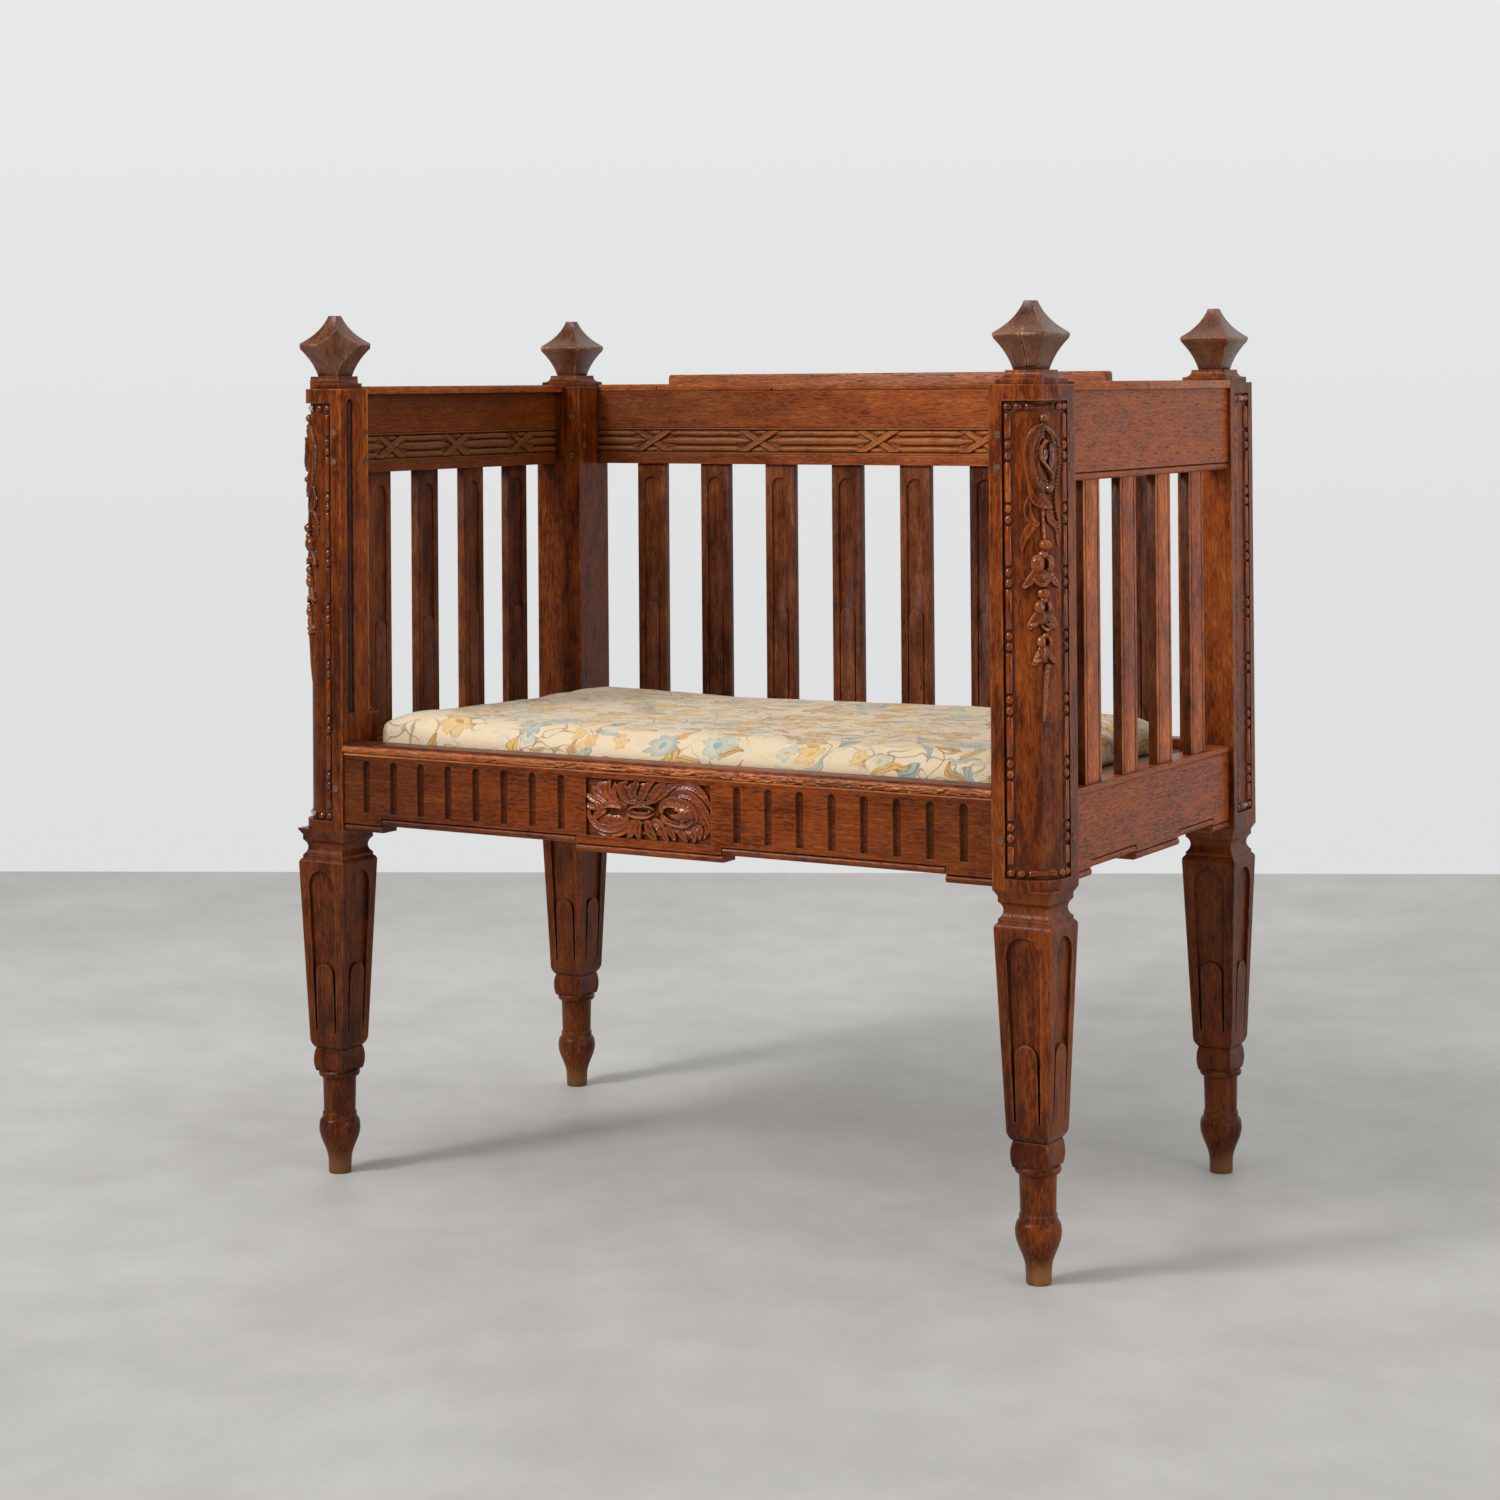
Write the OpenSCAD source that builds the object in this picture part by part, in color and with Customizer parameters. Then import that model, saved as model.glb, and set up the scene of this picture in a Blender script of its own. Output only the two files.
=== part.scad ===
// Carved oak hall settle: four finialled posts on tapered legs, a slatted back and slatted
// sides, a fluted front apron with a carved panel, and a loose crowned seat pad.
// Millimetres. +Z is up, the front faces -Y, the origin is on the floor under the middle.

/* [Posts] */
// Distance between the post centres, left to right
post_span_x = 862; // [640:1:1500]
// Distance between the post centres, front to back
post_span_y = 476; // [400:1:640]
// Side of a square post
post_side = 63.5; // [56:0.5:76]
// Height of the shaped leg below the square block
leg_h = 386; // [330:1:460]
// Height of the square block above the leg
block_h = 492; // [440:1:640]
// Radius of the rounded outer corner of a front post
corner_r = 29; // [24:1:29]
// Depth of the sunk panels on the posts
sink = 3; // [1.5:0.5:4]
// Height of the moulded cap on the block
cap_h = 14; // [12:0.5:18]
// Fall of each leg face from the top of its taper to the foot
leg_taper = 8; // [4:0.5:10]
// Depth of the arched recess in each leg face
leg_flute_depth = 3.5; // [1.5:0.5:5]
// Width of the bead moulding that frames the post panels
beading_w = 7; // [5:0.5:9]
// Distance of the moulding's middle from the edge of its panel
beading_inset = 5.6; // [4.6:0.2:8]
// Height of the bead moulding above its sunk floor
beading_rise = 2.7; // [1.5:0.1:3.5]

/* [Feet] */
// Diameter of the foot where it meets the floor
foot_d = 26; // [20:1:36]
// Greatest diameter of the turned bulb
bulb_d = 46; // [40:1:52]
// Diameter of the turned neck above the bulb
neck_d = 36; // [30:1:40]

/* [Finials] */
// Height of a finial above the cap
finial_h = 68; // [50:1:90]
// Greatest side of a finial
finial_side = 58.5; // [46:0.5:66]
// Side of a finial where it stands on the cap
finial_foot = 26; // [22:1:32]
// Side of a finial's flat top
finial_tip = 10; // [6:1:14]
// Diameter of the round spigot under a finial
spigot_d = 16; // [10:1:18]

/* [Seat rails] */
// Rise of the seat rails' lower edge above the bottom of the block
rail_rise = 10; // [6:1:20]
// Height of the front apron with its nosing
apron_h = 89; // [80:1:110]
// Height of the rounded nosing on the apron
nosing_h = 11; // [8:0.5:14]
// Thickness of the front apron
apron_t = 27.5; // [24:0.5:34]
// Height of the side and back seat rails
seat_rail_h = 82; // [74:1:100]
// Thickness of the side seat rails
side_rail_t = 25; // [20:0.5:30]
// Thickness of the back seat rail
back_rail_t = 23; // [18:0.5:28]
// Set-back of the side seat rails from the outer face of the posts
side_setback = 6.5; // [4:0.5:9]
// Set-back of the apron face from the front of the posts
apron_setback = 2.5; // [2:0.5:5]
// Drop of the stepped tabs on the lower edges
tab_drop = 8; // [4:0.5:9]
// Length of the apron tabs that meet the posts
apron_end_tab = 52; // [30:1:90]
// Half length of the middle apron tab
apron_mid_tab = 90; // [85:1:130]
// Length of the side rail tabs that meet the posts
side_end_tab = 46; // [25:1:60]
// Half length of the middle tab on a side rail
side_mid_tab = 57; // [30:1:70]
// Offset of the middle side tab towards the back
side_tab_shift = 8; // [0:1:15]

/* [Apron carving] */
// Number of upright flutes on each half of the apron
flutes = 8; // [4:1:8]
// Distance between flutes
flute_pitch = 37; // [30:0.1:40]
// Distance of the first flute from the middle
flute_first = 108.5; // [100:0.5:115]
// Width of a flute
flute_w = 7.5; // [4:0.5:10]
// Height of a flute
flute_h = 57; // [40:1:58]
// Half width of the sunk middle panel
panel_half = 77; // [60:1:80]
// Height of the sunk middle panel
panel_h = 61; // [50:1:62]

/* [Back and sides] */
// Height of the top rails
top_rail_h = 89.5; // [80:0.5:110]
// Drop of the top rails' upper edge below the top of the block
top_rail_drop = 6.5; // [4:0.5:20]
// Thickness of the back top rail
back_top_t = 20; // [16:0.5:26]
// Set-back of the back top rail from the back of the posts
back_setback = 2; // [1:0.5:6]
// Thickness of the side top rails
side_top_t = 24.5; // [18:0.5:30]
// Set-back of the side top rails from the outer face of the posts
side_top_setback = 4; // [2:0.5:8]
// Height of the carved band along the top rails
band_h = 33.5; // [26:0.5:38]
// Depth to which the carved band is sunk
band_depth = 3; // [1.5:0.5:4]
// Distance between the crossed ribbons on the back band
back_ribbon_pitch = 148; // [90:1:200]
// Distance between the crossed ribbons on the side bands
side_ribbon_pitch = 123.5; // [90:0.5:180]
// Thickness of the cap strips and of the crest board's ends
strip_t = 9; // [6:0.5:14]
// Width of the cap strips on the side rails
strip_w = 40; // [30:1:46]
// Rise of the crest board's middle above its ends
crest_rise = 11.5; // [6:0.5:30]
// Half length of the crest board's raised middle
crest_half = 295; // [150:1:300]
// Thickness of the crest board
crest_t = 18; // [12:0.5:24]

/* [Slats] */
// Number of slats in the back
back_slats = 8; // [4:1:8]
// Number of slats in each side
side_slats = 4; // [2:1:4]
// Distance between the back slats
back_pitch = 92.3; // [60:0.1:95]
// Distance between the side slats
side_pitch = 91.5; // [50:0.5:95]
// Width of a back slat
back_slat_w = 40; // [30:1:44]
// Width of a side slat
side_slat_w = 40; // [30:1:44]
// Thickness of the slats
slat_t = 10; // [6:0.5:12]
// Width of the arched flute in a slat
slat_flute_w = 22; // [10:1:24]
// Depth of the flute in a slat
slat_flute_depth = 3; // [1:0.5:4]
// Shift of the side slats towards the front
side_slat_shift = 6; // [0:1:8]

/* [Seat] */
// Drop of the seat boards' top below the side rails' upper edge
board_drop = 11; // [6:1:20]
// Thickness of the seat boards
board_t = 14; // [10:1:18]
// Height of the ledgers that carry the boards
ledger_h = 20; // [14:1:26]
// Width of the ledgers
ledger_w = 18; // [12:1:22]
// Gap between each end of the seat pad and the posts beside it
pad_end_gap = 5; // [2:0.5:20]
// Gap between the seat pad and the apron
pad_front_gap = 4; // [2:0.5:20]
// Gap between the seat pad and the back seat rail
pad_back_gap = 13; // [2:0.5:30]
// Height of the seat pad at its edges
pad_edge_h = 27; // [15:1:60]
// Rise of the pad's crown above its edges
pad_crown = 16; // [6:1:40]
// How far the pad's sides are drawn in between its corners
pad_pull = 5; // [0:1:12]

/* [Joinery] */
// Diameter of the pegs
peg_d = 8; // [5:0.5:10]
// Length of the tenons on the rails
tenon_l = 28; // [18:1:29]
// Thickness of the tenons
tenon_t = 10; // [6:0.5:12]
// Clearance round tenons, spigots and pegs
fit = 0.3; // [0.1:0.1:0.5]
// Depth of the housings that take the slat ends
housing = 6; // [3:0.5:8]

/* [Part] */
// Piece to build, or all of them

/* [Hidden] */
$fn = 48;
half = post_side / 2;
px = post_span_x / 2;
py = post_span_y / 2;
bay_x = px - half;
bay_y = py - half;
side_x = px + half;
front_y = -py - half;
back_y = py + half;
block_top = leg_h + block_h;
rail_z = leg_h + rail_rise;
seat_top = rail_z + seat_rail_h;
apron_top = rail_z + apron_h;
top_rail_top = block_top - top_rail_drop;
top_rail_z = top_rail_top - top_rail_h;
bead_h = 8;
quirk = 1.2;
// Turned foot
tip_h = 14;
bulb_z = 51;
shoulder_w = 3.6;
shoulder_h = 11;
ring_z = 109;
pillow_z = 115;
pillow_h = 25;
taper_z = 152;
taper_top = leg_h - 38;
leg_top_half = half - 0.75;
leg_foot_half = leg_top_half - leg_taper;
taper_angle = atan(leg_taper / (taper_top - taper_z));
end_r = 16;
pillow_half = neck_d / 2 + 0.5;
// Post panels
panel_left = 14;
panel_back = 17.5;
panel_z = leg_h + 11.5;
panel_top = block_top - 16;
field_r = corner_r + 3;
field_half = half - sink;
field_c = field_half - field_r;
back_panel_a = 9.5;
back_panel_b = 11;
back_panel_z = leg_h + 17;
back_panel_top = block_top - 12;
cap_set = 4.75;
cap_half = half - cap_set;
cap_fillet = 6;
cap_lip = 1.6;
cap_cove = cap_h - cap_fillet - cap_lip;
cap_quirk = 1.2;
groove_y = 17;
chamfer = 13.5;
chamfer_z = apron_top + 50;
tongue = 20;
// Rails
apron_y = front_y + apron_setback;
apron_back = apron_y + apron_t;
side_face = side_x - side_setback;
side_in = side_face - side_rail_t;
back_face = back_y - 5;
back_in = back_face - back_rail_t;
top_face = side_x - side_top_setback;
top_in = top_face - side_top_t;
back_top_face = back_y - back_setback;
back_top_in = back_top_face - back_top_t;
band_z = 11.5;
reed_r = band_h / 7;
// Slats
side_slat_x = (top_in + top_face) / 2 - slat_t / 2;
back_slat_y = (back_top_in + back_top_face) / 2 - slat_t / 2;
side_room = 2 * (bay_y - side_slat_shift) - side_slat_w - 4;
side_step = min(side_pitch, side_room / (side_slats - 1));
back_step = min(back_pitch, (2 * bay_x - back_slat_w - 4) / (back_slats - 1));
cable_share = 0.44;
cable_set = 1.4;
// Seat
board_top = seat_top - board_drop;
board_z = board_top - board_t;
ledger_z = board_z - ledger_h;
pad_w = 2 * (bay_x - pad_end_gap);
pad_front = apron_back + pad_front_gap;
pad_d = back_in - pad_back_gap - pad_front;
pad_y = pad_front + pad_d / 2;

// General helpers

module both_ways() {
    children();
    mirror([1, 0, 0]) children();
}

// A solid whose four faces all have the same outline, mitred at the corners
module square_form(side) {
    intersection() {
        rotate([90, 0, 0]) linear_extrude(height = side, center = true) children();
        rotate([90, 0, 90]) linear_extrude(height = side, center = true) children();
    }
}

module block(x0, x1, y0, y1, z0, z1) {
    translate([x0, y0, z0]) cube([x1 - x0, y1 - y0, z1 - z0]);
}

// Centre of the circle of radius r through a and b that lies on the right of a to b
function arc_centre(a, b, r) = let (
    d = b - a,
    l = norm(d),
    k = sqrt(r * r - l * l / 4)
) (a + b) / 2 + [d[1], -d[0]] / l * k;

// Legs and feet

module turned_foot() {
    // The tip swells to the bulb in one long curve, and a short shoulder closes it
    swell = [for (t = [0 : 0.1 : 1]) [
        foot_d / 2 + (bulb_d - foot_d) / 4 * (1 - cos(180 * t)),
        tip_h + (bulb_z - tip_h) * t
    ]];
    shoulder = [for (a = [18 : 18 : 90])
        [bulb_d / 2 - shoulder_w * (1 - cos(a)), bulb_z + shoulder_h * sin(a)]];
    profile = concat(
        [[0, 0], [foot_d / 2 - 1, 0], [foot_d / 2 - 0.4, 1.5]],
        swell,
        shoulder,
        [[neck_d / 2 + 1, 63.5], [neck_d / 2 + 1, 68], [neck_d / 2 - 0.3, 69]],
        [[neck_d / 2 + 0.6, ring_z - 2]],
        [[bulb_d / 2 - 1, ring_z], [bulb_d / 2, ring_z + 2]],
        [[bulb_d / 2, ring_z + 4.5], [bulb_d / 2 - 1.5, ring_z + 6.5], [0, ring_z + 6.5]]
    );
    rotate_extrude() polygon(profile);
}

module pillow_outline() {
    bow = 1.8;
    r = (pillow_h * pillow_h / 4 + bow * bow) / (2 * bow);
    intersection() {
        translate([-half, pillow_z]) square([post_side, pillow_h]);
        translate([r - bow - pillow_half, pillow_z + pillow_h / 2]) circle(r, $fn = 120);
        translate([pillow_half + bow - r, pillow_z + pillow_h / 2]) circle(r, $fn = 120);
    }
}

module leg_outline() {
    // Rounded lower end of the taper
    intersection() {
        union() {
            both_ways() translate([leg_foot_half - end_r, taper_z]) circle(end_r);
            translate([end_r - leg_foot_half, taper_z - end_r])
                square([2 * (leg_foot_half - end_r), end_r]);
        }
        translate([-half, pillow_z + pillow_h - 1]) square([post_side, 40]);
    }
    // Taper
    polygon([
        [-leg_foot_half, taper_z - 0.5], [leg_foot_half, taper_z - 0.5],
        [leg_top_half, taper_top], [-leg_top_half, taper_top]
    ]);
    // Quarter round over the taper
    intersection() {
        translate([-leg_top_half, taper_top - 1]) square([2 * leg_top_half, 7]);
        union() {
            both_ways() translate([leg_top_half - 6.5, taper_top]) circle(6.5);
            translate([6.5 - leg_top_half, taper_top - 1]) square([2 * leg_top_half - 13, 7]);
        }
    }
    // Cove between two fillets
    difference() {
        translate([4 - half, taper_top + 5]) square([post_side - 8, 27]);
        both_ways() translate([half + 2.5, taper_top + 17.5]) circle(10.6);
    }
    polygon([
        [4 - half, leg_h - 6.5], [half - 4, leg_h - 6.5], [half, leg_h], [-half, leg_h]
    ]);
    translate([-half, leg_h - 0.01]) square([post_side, 1]);
}

// Arched recess with a raised, round-topped cable in its lower part
module leg_flute_outline() {
    l = (taper_top - taper_z) / cos(taper_angle);
    w0 = leg_foot_half * 2 - 18;
    w1 = leg_top_half * 2 - 26;
    top = l - 7 - w1 / 2;
    cable_top = l * cable_share - w0 / 2;
    difference() {
        union() {
            polygon([[-w0 / 2, 8], [w0 / 2, 8], [w1 / 2, top], [-w1 / 2, top]]);
            translate([0, top]) circle(w1 / 2);
        }
        union() {
            translate([2 - w0 / 2, 4]) square([w0 - 4, cable_top - 4]);
            translate([0, cable_top]) circle(w0 / 2 - 2);
        }
    }
}

module leg() {
    turned_foot();
    square_form(post_side) pillow_outline();
    difference() {
        square_form(post_side) leg_outline();
        for (k = [0 : 3]) rotate([0, 0, 90 * k])
            translate([0, -leg_foot_half, taper_z]) rotate([90 + taper_angle, 0, 0])
                translate([0, 0, -leg_flute_depth])
                    linear_extrude(height = leg_flute_depth + 2) leg_flute_outline();
    }
}

// Posts, modelled as the right-hand ones with the outer face on +X

module front_section(s, r) {
    difference() {
        square(2 * s, center = true);
        translate([s - r, -s - 1]) square([r + 1, r + 1]);
    }
    intersection() {
        translate([s - r, r - s]) circle(r, $fn = 96);
        translate([s - r, -s]) square(r);
    }
}

module cap_outline() {
    top = block_top + cap_h;
    difference() {
        translate([-cap_half, block_top - 0.01]) square([2 * cap_half, cap_h + 0.01]);
        both_ways() {
            translate([cap_half - cap_quirk, block_top + cap_fillet]) square([3, cap_h]);
            translate([cap_half - cap_quirk, top - cap_lip]) circle(cap_cove);
            translate([cap_half - cap_quirk - cap_cove, top - cap_lip]) square([20, 10]);
        }
    }
}

module spigot_hole() {
    translate([0, 0, block_top + cap_h - 20.5]) cylinder(d = spigot_d + 2 * fit, h = 21);
}

// Groove with a round bed that runs out in a rounded end
module stopped_groove(z0, z1) {
    translate([0, 0, z0]) cylinder(r = 6, h = z1 - z0 - 6);
    translate([0, 0, z1 - 6]) sphere(r = 6);
}

module front_post_raw() {
    difference() {
        union() {
            leg();
            translate([0, 0, leg_h]) linear_extrude(height = block_h) front_section(half, corner_r);
            intersection() {
                square_form(post_side) cap_outline();
                translate([0, 0, block_top - 1]) linear_extrude(height = cap_h + 2)
                    front_section(cap_half, corner_r - cap_set);
            }
        }
        // Sunk field that wraps the rounded corner
        translate([0, 0, panel_z]) linear_extrude(height = panel_top - panel_z) difference() {
            translate([panel_left - half, -half - 2])
                square([post_side, 2 * half + 2 - panel_back]);
            front_section(field_half, field_r);
        }
        // Groove on the inner face
        translate([-half - 2, groove_y - half, 0]) stopped_groove(apron_top + 32, block_top - 11);
        // Chamfered back inner corner, ending in a curved tongue
        translate([-half, half, chamfer_z]) rotate([0, 0, 45])
            translate([-chamfer * sqrt(0.5), -20, 0])
                cube([chamfer * sqrt(2), 40, block_top - chamfer_z + cap_h]);
        translate([-half, half, chamfer_z]) rotate([0, 0, 45]) intersection() {
            translate([-chamfer * sqrt(0.5), -20, -tongue]) cube([chamfer * sqrt(2), 40, tongue]);
            translate([chamfer * sqrt(0.5) - 33, 0, 0]) rotate([90, 0, 0])
                cylinder(r = 33, h = 50, center = true);
        }
        spigot_hole();
    }
}

module back_post_raw() {
    difference() {
        union() {
            leg();
            block(-half, half, -half, half, leg_h, block_top);
            square_form(post_side) cap_outline();
        }
        block(half - sink, half + 1, back_panel_a - half, half - back_panel_b,
            back_panel_z, back_panel_top);
        spigot_hole();
    }
}

module front_post() {
    difference() {
        translate([px, -py, 0]) front_post_raw();
        apron_tenon(fit);
        side_tenons(-1, fit);
        front_pegs(fit);
    }
}

module back_post() {
    difference() {
        translate([px, py, 0]) back_post_raw();
        back_tenons(fit);
        side_tenons(1, fit);
        back_pegs(fit);
    }
}

// Finials

module finial_outline() {
    a = [finial_foot / 2, 0];
    b = [finial_side / 2, finial_h / 2];
    c = [finial_side / 2, finial_h / 2 + 1.6];
    d = [finial_tip / 2, finial_h];
    ra = 82;
    rc = 58;
    difference() {
        polygon([a, b, c, d, [-d[0], d[1]], [-c[0], c[1]], [-b[0], b[1]], [-a[0], a[1]]]);
        both_ways() {
            translate(arc_centre(a, b, ra)) circle(ra, $fn = 180);
            translate(arc_centre(c, d, rc)) circle(rc, $fn = 180);
        }
    }
}

module finial_raw() {
    square_form(2 * finial_side) finial_outline();
    translate([0, 0, -20]) cylinder(d = spigot_d, h = 21);
}

module finial(x, y) {
    translate([x, y, block_top + cap_h]) finial_raw();
}

// Bead mouldings

module bead_section(w, rise) {
    r = (w * w / 4 + rise * rise) / (2 * rise);
    intersection() {
        translate([0, rise - r]) circle(r);
        translate([-w / 2, 0]) square([w, rise + 1]);
    }
}

module bead_run(l) {
    linear_extrude(height = l) bead_section(beading_w, beading_rise);
}

module front_beading() {
    edge = beading_inset;
    z0 = panel_z;
    z1 = panel_top;
    translate([px, -py, 0]) {
        translate([panel_left - half + edge, -field_half, z0]) rotate([0, 0, 180]) bead_run(z1 - z0);
        translate([field_half, half - panel_back - edge, z0]) rotate([0, 0, -90])
            bead_run(z1 - z0);
        for (z = [z0 + edge, z1 - edge]) {
            translate([panel_left - half + edge, -field_half, z]) rotate([0, 90, 0])
                rotate([0, 0, 180]) bead_run(half - panel_left + field_c - edge);
            translate([field_half, -field_c, z]) rotate([-90, 0, 0]) rotate([0, 0, -90])
                bead_run(half - panel_back - edge + field_c);
            translate([field_c, -field_c, z]) intersection() {
                rotate_extrude($fn = 96) translate([field_r, 0]) rotate(-90)
                    bead_section(beading_w, beading_rise);
                block(0, half * 2, -half * 2, 0, -10, 10);
            }
        }
    }
}

module back_beading() {
    edge = beading_inset;
    z0 = back_panel_z;
    z1 = back_panel_top;
    y0 = back_panel_a - half + edge;
    y1 = half - back_panel_b - edge;
    translate([px + field_half, py, 0]) {
        for (y = [y0, y1]) translate([0, y, z0]) rotate([0, 0, -90]) bead_run(z1 - z0);
        for (z = [z0 + edge, z1 - edge]) translate([0, y0, z])
            rotate([-90, 0, 0]) rotate([0, 0, -90]) bead_run(y1 - y0);
    }
}

// Carved drop on the rounded corner of a front post: knob, pod, ball and hanging bells

module pod_outline(w, h) {
    r = (h * h / 4 + w * w / 4) / w;
    intersection() {
        translate([r - w / 2, 0]) circle(r, $fn = 120);
        translate([w / 2 - r, 0]) circle(r, $fn = 120);
    }
}

module bell(z, h, r0, r1) {
    translate([0, 0, z - h]) cylinder(h = h, r1 = r1, r2 = r0);
    translate([0, 0, z - h]) sphere(r = r1);
}

module corner_drop() {
    top = block_top - 28;
    translate([px + field_c, -py - field_c, 0]) difference() {
        union() {
            // Pod with a raised inner pod and a seed
            intersection() {
                union() {
                    translate([0, 0, top - 110]) cylinder(r = field_r + 3, h = 100, $fn = 96);
                    translate([0, 0, top - 50]) rotate([0, 0, -45]) rotate([90, 0, 90])
                        linear_extrude(height = field_r + 5) pod_outline(22, 58);
                }
                translate([0, 0, top - 50]) rotate([0, 0, -45]) rotate([90, 0, 90])
                    linear_extrude(height = 60) pod_outline(37, 84);
            }
            rotate([0, 0, -45]) translate([field_r, 0, 0]) {
                translate([0, 0, top - 5]) sphere(r = 5.5);
                translate([3, 0, top - 50]) sphere(r = 5);
                translate([0, 0, top - 127]) sphere(r = 6.5);
                bell(top - 133, 22, 2.5, 6.5);
                bell(top - 168, 14, 2, 5);
                bell(top - 184, 18, 2, 5.5);
                bell(top - 212, 22, 1.8, 5);
                translate([0, 0, top - 296]) cylinder(r1 = 1, r2 = 2.2, h = 60);
            }
        }
        translate([0, 0, top - 320]) cylinder(r = field_r, h = 360, $fn = 96);
    }
}

// Tenons and pegs

module apron_tenon(c) {
    y = (apron_y + apron_back) / 2;
    block(bay_x - 1, bay_x + tenon_l + c, y - tenon_t / 2 - c, y + tenon_t / 2 + c,
        rail_z + 12 - c, rail_z + 64 + c);
}

module back_tenons(c) {
    ya = (back_face + back_in) / 2;
    yb = (back_top_face + back_top_in) / 2;
    block(bay_x - 1, bay_x + tenon_l + c, ya - tenon_t / 2 - c, ya + tenon_t / 2 + c,
        rail_z + 12 - c, rail_z + 64 + c);
    block(bay_x - 1, bay_x + tenon_l + c, yb - tenon_t / 2 - c, yb + tenon_t / 2 + c,
        top_rail_z + 12 - c, top_rail_z + 68 + c);
}

module side_tenons(way, c) {
    xa = (side_face + side_in) / 2;
    xb = (top_face + top_in) / 2;
    y0 = way > 0 ? bay_y - 1 : -bay_y - tenon_l - c;
    y1 = way > 0 ? bay_y + tenon_l + c : 1 - bay_y;
    block(xa - tenon_t / 2 - c, xa + tenon_t / 2 + c, y0, y1, rail_z + 12 - c, rail_z + 64 + c);
    block(xb - tenon_t / 2 - c, xb + tenon_t / 2 + c, y0, y1,
        top_rail_z + 12 - c, top_rail_z + 68 + c);
}

module peg_x(x0, x1, y, z, c) {
    translate([x0, y, z]) rotate([0, 90, 0]) cylinder(d = peg_d + 2 * c, h = x1 - x0);
}

module peg_y(x, y0, y1, z, c) {
    translate([x, y0, z]) rotate([-90, 0, 0]) cylinder(d = peg_d + 2 * c, h = y1 - y0);
}

// Pegs of the right-hand front post; each bore is a little deeper than its peg
module front_pegs(c) {
    proud = 0.6;
    xp = bay_x + panel_left - peg_d / 2 - 0.4;
    yp = peg_d / 2 + 2 - bay_y - panel_back;
    for (z = [top_rail_z + 15, top_rail_z + 47]) {
        peg_x(px - c, side_x + proud, yp, z, c);
        peg_x(bay_x - proud, bay_x + 9 + c, yp - 7, z, c);
        peg_y(xp, front_y - proud, front_y + 22 + c, z, c);
    }
    peg_x(px - c, side_x + proud, yp, rail_z + 38, c);
    peg_y(xp, front_y - proud, front_y + 24 + c, rail_z + 38, c);
}

// Pegs of the right-hand back post
module back_pegs(c) {
    proud = 0.6;
    xp = bay_x + 11;
    yp = bay_y + 11;
    for (z = [top_rail_z + 23, top_rail_z + 47]) {
        peg_x(bay_x - proud, side_x - sink - 0.5 + c, yp, z, c);
        peg_y(xp, bay_y - proud, back_y + proud, z + (z > top_rail_z + 30 ? 12 : -12), c);
    }
    peg_y(xp, py, back_y + proud, rail_z + 38, c);
}

// Seat rails

// Section of a moulded rail: face at x = 0, thickness towards +x, foot at y = 0
module rail_section(t, h) {
    difference() {
        union() {
            translate([0, bead_h]) square([t, h - bead_h]);
            translate([bead_h / 2, 0]) square([t - bead_h / 2, bead_h + 1]);
            translate([bead_h / 2, bead_h / 2]) circle(bead_h / 2);
        }
        translate([-1, bead_h - quirk / 2]) square([1 + quirk * 1.5, quirk]);
    }
}

// Nosing: a rounded front edge that stands proud of the face
module nosing_section(proud, h, t) {
    translate([h / 2 - proud, h / 2]) circle(h / 2);
    translate([h / 2 - proud, 0]) square([t + proud - h / 2, h]);
}

module apron_run(x0, x1, drop) {
    translate([x0, apron_y, rail_z - drop]) rotate([90, 0, 90])
        linear_extrude(height = x1 - x0) rail_section(apron_t, apron_h - nosing_h + drop);
}

module apron_steps() {
    xs = [bay_x - apron_end_tab, apron_mid_tab];
    for (x = xs) block(x - quirk / 2, x + quirk / 2, apron_y - 1, apron_y + quirk * 1.5,
        rail_z + bead_h - tab_drop, rail_z + bead_h + quirk / 2);
}

module flute(x) {
    z0 = rail_z + 14;
    translate([x, apron_y - 0.5, z0]) cylinder(d = flute_w + 0.4, h = flute_h - flute_w / 2);
    translate([x, apron_y - 0.5, z0 + flute_h - flute_w / 2]) sphere(d = flute_w + 0.4);
}

module front_apron_solid() {
    panel_z0 = rail_z + 9.5;
    difference() {
        union() {
            both_ways() {
                apron_run(bay_x - apron_end_tab, bay_x, tab_drop);
                apron_run(apron_mid_tab, bay_x - apron_end_tab, 0);
            }
            apron_run(-apron_mid_tab, apron_mid_tab, tab_drop);
            translate([-bay_x, apron_y, apron_top - nosing_h]) rotate([90, 0, 90])
                linear_extrude(height = 2 * bay_x) nosing_section(apron_setback, nosing_h, apron_t);
            both_ways() apron_tenon(0);
        }
        both_ways() {
            apron_steps();
            for (i = [0 : flutes - 1]) flute(flute_first + i * flute_pitch);
            front_pegs(fit);
        }
        block(-panel_half, panel_half, apron_y - 1, apron_y + 4, panel_z0, panel_z0 + panel_h);
    }
}

// Relief in the apron panel: two scrolls, a rolled middle and leaf lobes
module scroll(r, tube) {
    rotate([90, 0, 0]) {
        rotate_extrude() intersection() {
            translate([r, 0]) circle(tube, $fn = 24);
            translate([0, 0]) square([2 * r, 2 * tube]);
        }
        cylinder(r = r - tube * 0.6, h = 1.2);
        intersection() {
            sphere(r = tube * 1.2);
            cylinder(r = 2 * tube, h = 2 * tube);
        }
    }
}

module leaf(l, w, t) {
    rotate([90, 0, 0]) intersection() {
        linear_extrude(height = t) pod_outline(w, l);
        translate([0, 0, t - 40]) rotate([90, 0, 0]) cylinder(r = 40, h = 2 * l, center = true, $fn = 96);
    }
}

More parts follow.
